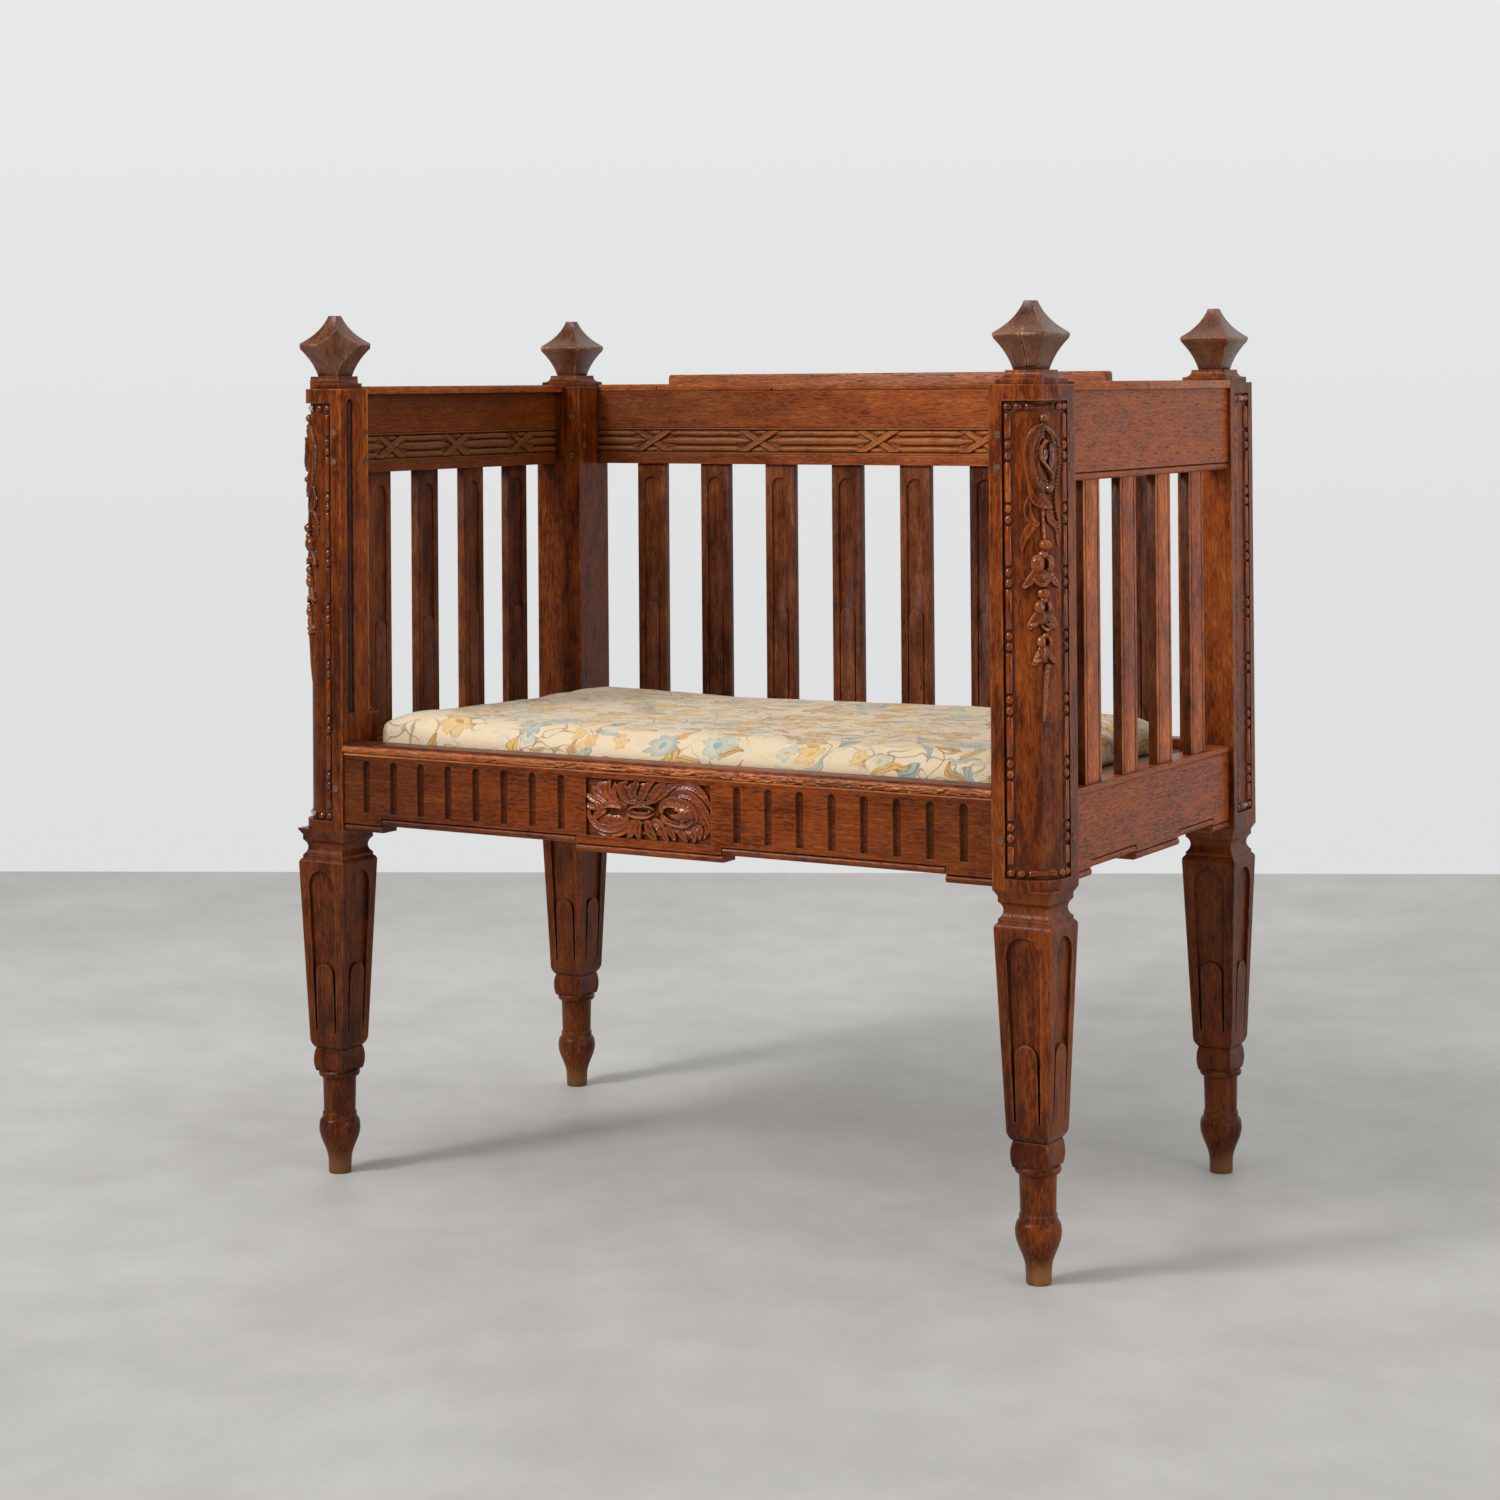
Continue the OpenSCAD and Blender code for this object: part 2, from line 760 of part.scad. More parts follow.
module rosette_solid() {
    floor_y = apron_y + 4;
    zc = rail_z + 9.5 + panel_h / 2;
    translate([0, floor_y, zc]) {
        both_ways() {
            translate([31, 0, -3]) scroll(14, 4.4);
            for (a = [-62, -28, 28, 62]) rotate([0, a, 0]) translate([16, 0, 0])
                rotate([0, 90, 0]) leaf(26, 11, 3.4);
            for (a = [-38, 0, 38]) translate([52, 0, -3]) rotate([0, a, 0])
                translate([9, 0, 0]) rotate([0, 90, 0]) leaf(24, 9, 3);
            for (x = [10, 24, 40]) translate([x, 0, 19]) rotate([0, x / 2, 0]) leaf(17, 10, 3);
            for (x = [10, 24, 40]) translate([x, 0, -20]) rotate([0, -x / 2, 0]) leaf(17, 10, 3);
        }
        leaf(44, 16, 4);
        translate([0, 0, 2]) rotate([90, 0, 0]) intersection() {
            sphere(r = 6.5);
            cylinder(r = 8, h = 8);
        }
    }
}

module side_run(y0, y1, drop) {
    translate([side_face, y0, rail_z - drop]) mirror([1, 0, 0]) mirror([0, 1, 0])
        rotate([90, 0, 0]) linear_extrude(height = y1 - y0)
            rail_section(side_rail_t, seat_rail_h + drop);
}

module side_steps() {
    ys = [side_end_tab - bay_y, side_tab_shift - side_mid_tab,
        side_tab_shift + side_mid_tab, bay_y - side_end_tab];
    for (y = ys) block(side_face - quirk * 1.5, side_face + 1, y - quirk / 2, y + quirk / 2,
        rail_z + bead_h - tab_drop, rail_z + bead_h + quirk / 2);
}

module side_seat_rail() {
    m0 = side_tab_shift - side_mid_tab;
    m1 = side_tab_shift + side_mid_tab;
    difference() {
        union() {
            side_run(-bay_y, side_end_tab - bay_y, tab_drop);
            side_run(side_end_tab - bay_y, m0, 0);
            side_run(m0, m1, tab_drop);
            side_run(m1, bay_y - side_end_tab, 0);
            side_run(bay_y - side_end_tab, bay_y, tab_drop);
            // Rounded nosing along the upper edge
            translate([side_face - 2, -bay_y, seat_top - 4]) rotate([-90, 0, 0])
                cylinder(r = 4, h = 2 * bay_y);
            intersection() {
                for (way = [-1, 1]) side_tenons(way, 0);
                block(side_in, side_face, -2 * py, 2 * py, rail_z - 20, seat_top);
            }
        }
        side_steps();
        side_slat_holes(seat_top - housing, seat_top + 1);
        front_pegs(fit);
    }
}

module back_seat_rail_solid() {
    difference() {
        union() {
            block(-bay_x, bay_x, back_in, back_face, rail_z, seat_top);
            both_ways() intersection() {
                back_tenons(0);
                block(0, side_x, back_in, back_face, rail_z, seat_top);
            }
        }
        back_slat_holes(seat_top - housing, seat_top + 1);
        both_ways() back_pegs(fit);
    }
}

// Top rails

// What is carved away round three reeds bound with crossed ribbons, face at z = 0
module band_waste(l, first, pitch) {
    n = floor((l / 2 - 20) / pitch);
    difference() {
        translate([-l / 2, 0, -band_depth]) cube([l, band_h, band_depth + 1]);
        for (k = [-1 : 1]) translate([-l / 2 - 1, band_h / 2 + k * reed_r * 2.08, -reed_r - 0.1])
            rotate([0, 90, 0]) cylinder(r = reed_r, h = l + 2);
        for (i = [-n - 1 : n + 1]) translate([first + i * pitch, band_h / 2, -4])
            for (a = [31, -31]) rotate([0, 0, a]) translate([-40, -4.5, 0])
                cube([80, 9, a > 0 ? 3.9 : 3.3]);
    }
}

module side_top_rail() {
    l = 2 * bay_y;
    difference() {
        union() {
            translate([top_face, -bay_y, top_rail_z]) mirror([1, 0, 0]) mirror([0, 1, 0])
                rotate([90, 0, 0]) linear_extrude(height = l)
                    rail_section(side_top_t, top_rail_h);
            intersection() {
                for (way = [-1, 1]) side_tenons(way, 0);
                block(top_in, top_face, -2 * py, 2 * py, top_rail_z, top_rail_top);
            }
        }
        translate([top_in, 0, top_rail_z + band_z]) rotate([90, 0, -90])
            band_waste(l, 7, side_ribbon_pitch);
        side_slat_holes(top_rail_z - 1, top_rail_z + housing + fit);
        front_pegs(fit);
        back_pegs(fit);
    }
}

module back_top_rail_solid() {
    l = 2 * bay_x;
    difference() {
        union() {
            block(-bay_x, bay_x, back_top_in, back_top_face, top_rail_z, top_rail_top);
            both_ways() intersection() {
                back_tenons(0);
                block(0, side_x, back_top_in, back_top_face, top_rail_z, top_rail_top);
            }
        }
        translate([0, back_top_in, top_rail_z + band_z]) rotate([90, 0, 0])
            band_waste(l, -15, back_ribbon_pitch);
        back_slat_holes(top_rail_z - 1, top_rail_z + housing + fit);
        both_ways() back_pegs(fit);
    }
}

module crest_outline() {
    r = 4;
    t = strip_t + crest_rise;
    translate([-bay_x, 0]) square([2 * bay_x, strip_t]);
    difference() {
        translate([-crest_half, 0]) square([2 * crest_half, t]);
        both_ways() difference() {
            translate([crest_half - r, t - r]) square(2 * r);
            translate([crest_half - r, t - r]) circle(r);
        }
    }
}

module crest_board_solid() {
    translate([0, back_top_face, top_rail_top]) rotate([90, 0, 0])
        linear_extrude(height = crest_t) crest_outline();
}

module cap_strip() {
    block(side_x - strip_w, side_x, -bay_y, bay_y, top_rail_top, top_rail_top + strip_t);
}

// Slats

function side_slat_y(i) = (i - (side_slats + 1) / 2) * side_step - side_slat_shift;

module side_slat_holes(z0, z1) {
    for (i = [1 : side_slats]) {
        y = side_slat_y(i);
        block(side_slat_x - fit, side_slat_x + slat_t + fit,
            y - side_slat_w / 2 - fit, y + side_slat_w / 2 + fit, z0, z1);
    }
}

module back_slat_holes(z0, z1) {
    for (i = [0 : back_slats - 1]) {
        x = (i - (back_slats - 1) / 2) * back_step;
        block(x - back_slat_w / 2 - fit, x + back_slat_w / 2 + fit,
            back_slat_y - fit, back_slat_y + slat_t + fit, z0, z1);
    }
}

// Slat standing on y = 0 with its fluted face on -y; the lower part of the flute is cabled
module slat_raw(w, edge_beads) {
    z0 = seat_top - housing;
    z1 = top_rail_z + housing;
    h = top_rail_z - seat_top;
    r = slat_flute_w / 2;
    deep = slat_flute_depth + 1;
    arch = top_rail_z - 16 - r;
    cable = seat_top + h * cable_share - r;
    difference() {
        block(-w / 2, w / 2, 0, slat_t, z0, z1);
        difference() {
            union() {
                block(-r, r, -1, slat_flute_depth, seat_top + 4, arch);
                translate([0, -1, arch]) rotate([-90, 0, 0]) cylinder(r = r, h = deep);
            }
            union() {
                block(cable_set - r, r - cable_set, -2, deep, seat_top, cable);
                translate([0, -2, cable]) rotate([-90, 0, 0])
                    cylinder(r = r - cable_set, h = deep + 2);
            }
        }
        if (edge_beads) both_ways()
            block(w / 2 - 6.5, w / 2 - 5, slat_t - 1.2, slat_t + 1, seat_top, top_rail_z);
    }
}

module back_slat(i) {
    if (i <= back_slats) translate([(i - 1 - (back_slats - 1) / 2) * back_step, back_slat_y, 0])
        slat_raw(back_slat_w, false);
}

module side_slat(i) {
    if (i <= side_slats) translate([side_slat_x, side_slat_y(i), 0]) rotate([0, 0, -90])
        slat_raw(side_slat_w, true);
}

// Seat boards on ledgers

module board(y0, y1) {
    c = 0.5;
    difference() {
        block(c - side_in, side_in - c, y0, y1, board_z, board_top);
        for (x = [-px, px], y = [-py, py])
            block(x - half - c, x + half + c, y - half - c, y + half + c, board_z - 1, board_top + 1);
    }
}

module seat_board(i) {
    y0 = apron_back + 0.5;
    w = (back_in - 0.5 - y0) / 3;
    board(y0 + i * w + (i > 0 ? 0.5 : 0), y0 + (i + 1) * w - (i < 2 ? 0.5 : 0));
}

// Seat pad: rings of points from the middle of the underside over the edge to the crown.
// Each ring has its share of the outline, its set-back in edge heights, and its height.

pad_rings = [
    [0.45, 0, 0], [0.82, 0, 0], [1, 0.52, 0], [1, 0.19, 0.05], [1, 0.04, 0.22], [1, 0, 0.5],
    [1, 0.07, 0.78], [1, 0.26, 0.95], [1, 0.6, 1.04], [0.97, 0.9, 1.14],
    [0.8, 0.74, 1.34], [0.6, 0.45, 1.48], [0.4, 0.22, 1.56], [0.18, 0.07, 1.6]
];
pad_n = 72;

function pad_height(v) = v <= 1 ? v * pad_edge_h : pad_edge_h + (v - 1) / 0.6 * pad_crown;

// Outline of half sizes a and b with corners of radius r and sides drawn in by pull
function pad_point(t, a, b, pull) = let (
    e = 0.16,
    x = a * sign(cos(t)) * pow(abs(cos(t)), e),
    y = b * sign(sin(t)) * pow(abs(sin(t)), e),
    nx = 1 - pull / a * max(0, 1 - pow(y / b, 2)) * abs(x / a),
    ny = 1 - pull / b * max(0, 1 - pow(x / a, 2)) * abs(y / b)
) [x * nx, y * ny];

function pad_ring(k) = let (
    s = pad_rings[k][0],
    d = pad_rings[k][1] * pad_edge_h,
    z = board_top + pad_height(pad_rings[k][2])
) [for (i = [0 : pad_n - 1]) let (
    p = pad_point(360 * (i + 0.5) / pad_n, pad_w / 2 * s - d, pad_d / 2 * s - d, pad_pull * s)
) [p[0], pad_y + p[1], z]];

module pad_solid() {
    m = len(pad_rings);
    points = concat(
        [for (k = [0 : m - 1]) each pad_ring(k)],
        [[0, pad_y, board_top], [0, pad_y, board_top + pad_height(1.62)]]
    );
    faces = concat(
        [for (k = [0 : m - 2], i = [0 : pad_n - 1]) let (j = (i + 1) % pad_n)
            [k * pad_n + i, (k + 1) * pad_n + i, (k + 1) * pad_n + j]],
        [for (k = [0 : m - 2], i = [0 : pad_n - 1]) let (j = (i + 1) % pad_n)
            [k * pad_n + i, (k + 1) * pad_n + j, k * pad_n + j]],
        [for (i = [0 : pad_n - 1]) [m * pad_n, i, (i + 1) % pad_n]],
        [for (i = [0 : pad_n - 1]) let (b = (m - 1) * pad_n)
            [m * pad_n + 1, b + (i + 1) % pad_n, b + i]]
    );
    polyhedron(points = points, faces = faces, convexity = 4);
}

// One module for each piece

module fl_post() color("saddlebrown") mirror([1, 0, 0]) front_post();
module fr_post() color("saddlebrown") front_post();
module bl_post() color("sienna") mirror([1, 0, 0]) back_post();
module br_post() color("sienna") back_post();

// The front left finial has a flat diamond facet on its inner front corner
module fl_finial() color("peru") difference() {
    finial(-px, -py);
    translate([-px, -py, block_top + cap_h - 1]) rotate([0, 0, -45])
        translate([finial_side * 0.53, -50, 0]) cube([40, 100, finial_h + 2]);
}
module fr_finial() color("peru") finial(px, -py);
module bl_finial() color("peru") finial(-px, py);
module br_finial() color("peru") finial(px, py);

module fl_beading() color("chocolate") mirror([1, 0, 0]) front_beading();
module fr_beading() color("chocolate") front_beading();
module bl_beading() color("chocolate") mirror([1, 0, 0]) back_beading();
module br_beading() color("chocolate") back_beading();
module fl_drop() color("sandybrown") mirror([1, 0, 0]) corner_drop();
module fr_drop() color("sandybrown") corner_drop();

module front_apron() color("brown") front_apron_solid();
module apron_rosette() color("sandybrown") rosette_solid();
module back_seat_rail() color("maroon") back_seat_rail_solid();
module left_seat_rail() color("brown") mirror([1, 0, 0]) side_seat_rail();
module right_seat_rail() color("brown") side_seat_rail();

module back_top_rail() color("firebrick") back_top_rail_solid();
module left_top_rail() color("firebrick") mirror([1, 0, 0]) side_top_rail();
module right_top_rail() color("firebrick") side_top_rail();
module crest_board() color("darkorange") crest_board_solid();
module left_cap_strip() color("orange") mirror([1, 0, 0]) cap_strip();
module right_cap_strip() color("orange") cap_strip();

module back_slat_1() color("tan") back_slat(1);
module back_slat_2() color("tan") back_slat(2);
module back_slat_3() color("tan") back_slat(3);
module back_slat_4() color("tan") back_slat(4);
module back_slat_5() color("tan") back_slat(5);
module back_slat_6() color("tan") back_slat(6);
module back_slat_7() color("tan") back_slat(7);
module back_slat_8() color("tan") back_slat(8);
module left_slat_1() color("tan") mirror([1, 0, 0]) side_slat(1);
module left_slat_2() color("tan") mirror([1, 0, 0]) side_slat(2);
module left_slat_3() color("tan") mirror([1, 0, 0]) side_slat(3);
module left_slat_4() color("tan") mirror([1, 0, 0]) side_slat(4);
module right_slat_1() color("tan") side_slat(1);
module right_slat_2() color("tan") side_slat(2);
module right_slat_3() color("tan") side_slat(3);
module right_slat_4() color("tan") side_slat(4);

module front_ledger() color("khaki")
    block(0.5 - bay_x, bay_x - 0.5, apron_back, apron_back + ledger_w, ledger_z, board_z);
module back_ledger() color("khaki")
    block(0.5 - bay_x, bay_x - 0.5, back_in - ledger_w, back_in, ledger_z, board_z);
module left_ledger() color("khaki") mirror([1, 0, 0])
    block(side_in - ledger_w, side_in, 0.5 - bay_y, bay_y - 0.5, ledger_z, board_z);
module right_ledger() color("khaki")
    block(side_in - ledger_w, side_in, 0.5 - bay_y, bay_y - 0.5, ledger_z, board_z);

module front_board() color("wheat") seat_board(0);
module middle_board() color("wheat") seat_board(1);
module back_board() color("wheat") seat_board(2);

module pegs() color("black") both_ways() {
    front_pegs(0);
    back_pegs(0);
}

module seat_pad() color("beige") pad_solid();

fl_post();
fr_post();
bl_post();
br_post();
fl_finial();
fr_finial();
bl_finial();
br_finial();
fl_beading();
fr_beading();
bl_beading();
br_beading();
fl_drop();
fr_drop();
front_apron();
apron_rosette();
back_seat_rail();
left_seat_rail();
right_seat_rail();
back_top_rail();
left_top_rail();
right_top_rail();
crest_board();
left_cap_strip();
right_cap_strip();
back_slat_1();
back_slat_2();
back_slat_3();
back_slat_4();
back_slat_5();
back_slat_6();
back_slat_7();
back_slat_8();
left_slat_1();
left_slat_2();
left_slat_3();
left_slat_4();
right_slat_1();
right_slat_2();
right_slat_3();
right_slat_4();
front_ledger();
back_ledger();
left_ledger();
right_ledger();
front_board();
middle_board();
back_board();
pegs();
seat_pad();
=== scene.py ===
# %% [markdown]
# # A carved oak hall settle
#
# The settle arrives as plain solids: posts, rails, slats, boards and a pad, all in metres and
# in their final places. This notebook gives them worn oak, carved mouldings and a real
# cushion. We begin by loading the solids, because every new piece is measured from them.

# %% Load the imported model
from math import cos, pi, radians, sin

import bmesh
import bpy
import numpy as np
from mathutils import Matrix, Vector, noise


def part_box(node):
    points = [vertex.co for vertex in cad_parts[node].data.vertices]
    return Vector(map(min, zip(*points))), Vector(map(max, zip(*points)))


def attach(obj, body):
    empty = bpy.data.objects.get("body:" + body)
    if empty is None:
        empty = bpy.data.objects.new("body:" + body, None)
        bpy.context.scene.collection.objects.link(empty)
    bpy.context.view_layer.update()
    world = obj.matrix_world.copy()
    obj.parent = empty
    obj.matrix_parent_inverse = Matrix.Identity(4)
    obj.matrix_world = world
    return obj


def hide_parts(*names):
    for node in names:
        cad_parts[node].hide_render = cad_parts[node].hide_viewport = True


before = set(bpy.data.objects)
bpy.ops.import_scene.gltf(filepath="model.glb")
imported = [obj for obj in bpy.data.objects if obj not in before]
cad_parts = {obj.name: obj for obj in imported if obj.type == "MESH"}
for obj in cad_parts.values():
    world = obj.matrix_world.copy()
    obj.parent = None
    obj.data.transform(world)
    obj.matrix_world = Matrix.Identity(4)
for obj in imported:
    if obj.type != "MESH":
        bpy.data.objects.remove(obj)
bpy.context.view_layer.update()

MM = 0.001
scene = bpy.context.scene
scene.view_settings.view_transform = "Standard"

# %% [markdown]
# ## Camera
#
# The photograph was taken with a long lens from the right, level with the post caps. A long
# lens flattens the perspective. The camera looks straight ahead and its picture is shifted
# down, which keeps the posts upright.

# %% Place the camera
YAW, PITCH, ROLL = radians(30.591), radians(0.487), radians(-0.431)
CAMERA_AT = Vector((1.6964, -2.9195, 0.8812))
SENSOR = 36.0
LENS = 72.36
SHIFT = -0.2618

forward = Vector((-sin(YAW) * cos(PITCH), cos(YAW) * cos(PITCH), sin(PITCH)))
level = Vector((cos(YAW), sin(YAW), 0))
upright = level.cross(forward)
right = level * cos(ROLL) + upright * sin(ROLL)
up = upright * cos(ROLL) - level * sin(ROLL)

bpy.ops.object.select_all(action="DESELECT")
bpy.ops.object.camera_add(location=CAMERA_AT)
camera = bpy.context.object
camera.name = "camera"
turned = Matrix((right, up, -forward)).transposed().to_4x4()
camera.matrix_world = Matrix.Translation(CAMERA_AT) @ turned
camera.data.sensor_width = SENSOR
camera.data.lens = LENS
camera.data.shift_y = SHIFT
scene.camera = camera
print("lens", LENS, "mm, camera height", CAMERA_AT.z, "m")

# %% [markdown]
# ## Writing shader nodes without a mouse
#
# A material is a small graph. These helpers add one node at a time: a number or colour is set
# on the socket, and the output of another node is linked to it.

# %% Helpers for node graphs
def add(tree, kind, settings=None, **inputs):
    """Adds a node. A key such as i0 means an input by number, and others are input names."""
    node = tree.nodes.new(kind)
    for key, value in (settings or {}).items():
        setattr(node, key, value)
    for key, value in inputs.items():
        numbered = key[0] == "i" and key[1:].isdigit()
        socket = node.inputs[int(key[1:]) if numbered else key.replace("_", " ")]
        if isinstance(value, bpy.types.NodeSocket):
            tree.links.new(value, socket)
        else:
            socket.default_value = value
    return node


def calc(tree, operation, a, b=0.0, c=0.0, clamp=False):
    settings = {"operation": operation, "use_clamp": clamp}
    return add(tree, "ShaderNodeMath", settings, i0=a, i1=b, i2=c).outputs[0]


def vector(tree, operation, a, b=(0, 0, 0)):
    node = add(tree, "ShaderNodeVectorMath", {"operation": operation}, i0=a, i1=b)
    return node.outputs["Value" if operation in ("LENGTH", "DOT_PRODUCT") else "Vector"]


def scaled(tree, a, by):
    """A vector or a colour times one number."""
    settings = {"operation": "SCALE"}
    return add(tree, "ShaderNodeVectorMath", settings, i0=a, Scale=by).outputs["Vector"]


def blend_colours(tree, factor, a, b):
    """Mixes two colours. Each is a socket, or three numbers."""
    a, b = ((*colour, 1) if isinstance(colour, tuple) else colour for colour in (a, b))
    return add(tree, "ShaderNodeMix", {"data_type": "RGBA"}, i0=factor, i6=a, i7=b).outputs[2]


def between(tree, value, low, high, to_low=0.0, to_high=1.0):
    """Maps low..high to to_low..to_high and stops at the ends, with a soft start and finish."""
    node = add(tree, "ShaderNodeMapRange", {"interpolation_type": "SMOOTHSTEP"},
               Value=value, From_Min=low, From_Max=high, To_Min=to_low, To_Max=to_high)
    return node.outputs["Result"]


def noise_at(tree, where, scale, detail, rough):
    """A smooth random pattern. Its outputs are Fac, a number, and Color, three numbers."""
    return add(tree, "ShaderNodeTexNoise", Vector=where, Scale=scale, Detail=detail,
               Roughness=rough).outputs


def kept_on_points(tree, name, output="Fac"):
    """Reads what finish_piece and the carvings keep on the points of a mesh."""
    return add(tree, "ShaderNodeAttribute", {"attribute_name": name}).outputs[output]


# %% [markdown]
# ## Groups and materials
#
# An effect that several finishes share, such as grain or wear, is built once as a node group
# with named inputs and outputs. Each material places the group with its own values.

# %% Helpers for groups and materials
FLOAT, COLOUR, VECTOR = "NodeSocketFloat", "NodeSocketColor", "NodeSocketVector"


def new_group(name, inputs, outputs):
    """An empty node group, with the sockets that it is given and those that it fills."""
    group = bpy.data.node_groups.new(name, "ShaderNodeTree")
    for label, kind, value in inputs:
        socket = group.interface.new_socket(name=label, in_out="INPUT", socket_type=kind)
        if value is not None:
            socket.default_value = value
    for label, kind in outputs:
        group.interface.new_socket(name=label, in_out="OUTPUT", socket_type=kind)
    given = group.nodes.new("NodeGroupInput").outputs
    return group, given, group.nodes.new("NodeGroupOutput").inputs


def use_group(tree, group, **inputs):
    return add(tree, "ShaderNodeGroup", {"node_tree": group}, **inputs).outputs


def new_material(name):
    material = bpy.data.materials.new(name)
    material.use_nodes = True
    material.node_tree.nodes.clear()
    return material, material.node_tree


# %% [markdown]
# ## Oak grain
#
# Sawn oak shows three things. Growth rings make broad light and dark bands. Fibres make fine
# streaks along the board. Open pores make short dark dashes, which old polish fills with dirt.
# Each comes from a noise that is stretched along the grain. One group makes all three, so
# every wooden finish shares it and only changes the colours.

# %% Build the grain group
grain, given, result = new_group(
    "Oak grain",
    [("Vector", VECTOR, None), ("Piece", FLOAT, 0.0), ("Ring spacing", FLOAT, 0.006)],
    [("Rings", FLOAT), ("Fibre", FLOAT), ("Pores", FLOAT), ("Cloud", FLOAT)],
)
LOG_STEP = (3.1, 1.7, 2.3)      # how far apart in the log two pieces may be cut
place = vector(grain, "ADD", given["Vector"], scaled(grain, LOG_STEP, given["Piece"]))


def along_grain(per_metre, detail, rough, output="Fac"):
    """Noise with so many patches in a metre along the grain and across it."""
    return noise_at(grain, vector(grain, "MULTIPLY", place, per_metre), 1.0, detail, rough)[output]


def two_sizes(fine, coarse, share):
    """Adds a fine and a coarse pattern, with the share of the fine one."""
    return calc(grain, "MULTIPLY_ADD", fine, share, calc(grain, "MULTIPLY", coarse, 1 - share))


bent = vector(grain, "SUBTRACT", along_grain((1.6, 9, 9), 2.0, 0.5, "Color"), (0.5, 0.5, 0.5))
shift = vector(grain, "MULTIPLY", bent, (0, 0.05, 0.05))
across = vector(grain, "MULTIPLY", vector(grain, "ADD", place, shift), (0.04, 1, 1))
ring_at = calc(grain, "DIVIDE", vector(grain, "LENGTH", across), given["Ring spacing"])
wave = calc(grain, "SINE", calc(grain, "MULTIPLY", ring_at, 2 * pi))
fibre = two_sizes(along_grain((110, 420, 420), 2.0, 0.6),
                  along_grain((16, 360, 360), 3.0, 0.6), 0.6)
pore = between(grain, along_grain((90, 800, 800), 1.0, 0.4), 0.57, 0.66)
ringed = between(grain, wave, -0.4, 0.9, 0.35, 1.0)
cloud = two_sizes(along_grain((26, 60, 60), 4.0, 0.62), along_grain((5, 14, 14), 3.0, 0.6), 0.5)
grain.links.new(between(grain, wave, -1.0, 0.9), result["Rings"])
grain.links.new(between(grain, fibre, 0.36, 0.64), result["Fibre"])
grain.links.new(calc(grain, "MULTIPLY", pore, ringed), result["Pores"])
grain.links.new(between(grain, cloud, 0.36, 0.64), result["Cloud"])
print("grain group:", len(grain.nodes), "nodes")

# %% [markdown]
# ## Wear, dirt and painted shade
#
# Hands rub the polish off the edges and leave the pale wood bare. Dust and old wax gather in
# the corners, and the corners are also painted darker for the shade that falls in them.
# Ambient occlusion finds both: looking out of the surface it finds corners, and looking into
# the wood it finds edges. The Bevel node turns the normals at each edge, so that a sharp solid
# catches the light as a rubbed arris does.

# %% Build the wear group and the arris group
CORNER_REACH = 0.012
wear_and_shade, given, result = new_group(
    "Edge wear and corner shade", [("Reach", FLOAT, 0.003), ("Vector", VECTOR, None)],
    [("Edge", FLOAT), ("Corner", FLOAT)],
)
inward = {"inside": True, "only_local": True, "samples": 6}
inside = add(wear_and_shade, "ShaderNodeAmbientOcclusion", inward, Distance=given["Reach"]).outputs["AO"]
outside = add(wear_and_shade, "ShaderNodeAmbientOcclusion", {"samples": 6}, Distance=CORNER_REACH)
patch = noise_at(wear_and_shade, given["Vector"], 38.0, 3.0, 0.7)["Fac"]
bare = calc(wear_and_shade, "SUBTRACT", 1.0, inside)
patchy = calc(wear_and_shade, "MULTIPLY", bare, between(wear_and_shade, patch, 0.3, 0.75, 0.25, 1.7))
wear_and_shade.links.new(between(wear_and_shade, patchy, 0.14, 0.66), result["Edge"])
# Corner: dark in corners and crevices, for dust and wax there and for painted shade
wear_and_shade.links.new(between(wear_and_shade, outside.outputs["AO"], 0.2, 0.95, 1.0, 0.0), result["Corner"])

arris, given, result = new_group("Soft arris", [("Radius", FLOAT, 0.001)], [("Normal", VECTOR)])
rounded = add(arris, "ShaderNodeBevel", {"samples": 4}, Radius=given["Radius"])
arris.links.new(rounded.outputs["Normal"], result["Normal"])
print("wear group:", len(wear_and_shade.nodes), "nodes, arris group:", len(arris.nodes), "nodes")

# %% [markdown]
# ## The colours of old oak
#
# The palette of each finish goes from the dark of the rings to the bare orange wood on the
# edges. The slats are the darkest, the crest board is faded, and the carvings keep a polish
# that shines on their high parts. Some pieces also grow darker towards one end, so a few
# finishes fade along one axis.

# %% List the finishes
PALETTES = {  # dark rings, mid wood, light wood, worn edge
    "post": ((0.085, 0.014, 0.002), (0.225, 0.044, 0.004), (0.36, 0.095, 0.012), (0.5, 0.17, 0.04)),
    "rail": ((0.1, 0.019, 0.002), (0.225, 0.045, 0.005), (0.34, 0.09, 0.013), (0.48, 0.16, 0.04)),
    "apron": ((0.085, 0.014, 0.001), (0.235, 0.044, 0.004), (0.38, 0.095, 0.01),
              (0.5, 0.16, 0.035)),
    "slat": ((0.045, 0.009, 0.002), (0.125, 0.028, 0.006), (0.23, 0.062, 0.014),
             (0.36, 0.13, 0.04)),
    "crest": ((0.16, 0.03, 0.003), (0.33, 0.075, 0.012), (0.5, 0.15, 0.034), (0.6, 0.26, 0.1)),
    "carving": ((0.07, 0.011, 0.002), (0.2, 0.034, 0.003), (0.37, 0.082, 0.008), (0.6, 0.19, 0.03)),
    "nosing": ((0.12, 0.02, 0.003), (0.34, 0.068, 0.01), (0.6, 0.16, 0.03), (0.8, 0.3, 0.09)),
    "finial": ((0.06, 0.017, 0.006), (0.13, 0.04, 0.015), (0.21, 0.077, 0.03), (0.58, 0.29, 0.12)),
    "inside": ((0.16, 0.09, 0.045), (0.26, 0.16, 0.085), (0.36, 0.24, 0.14), (0.4, 0.28, 0.17)),
    "peg": ((0.07, 0.026, 0.012), (0.12, 0.045, 0.02), (0.17, 0.068, 0.03), (0.2, 0.09, 0.05)),
}
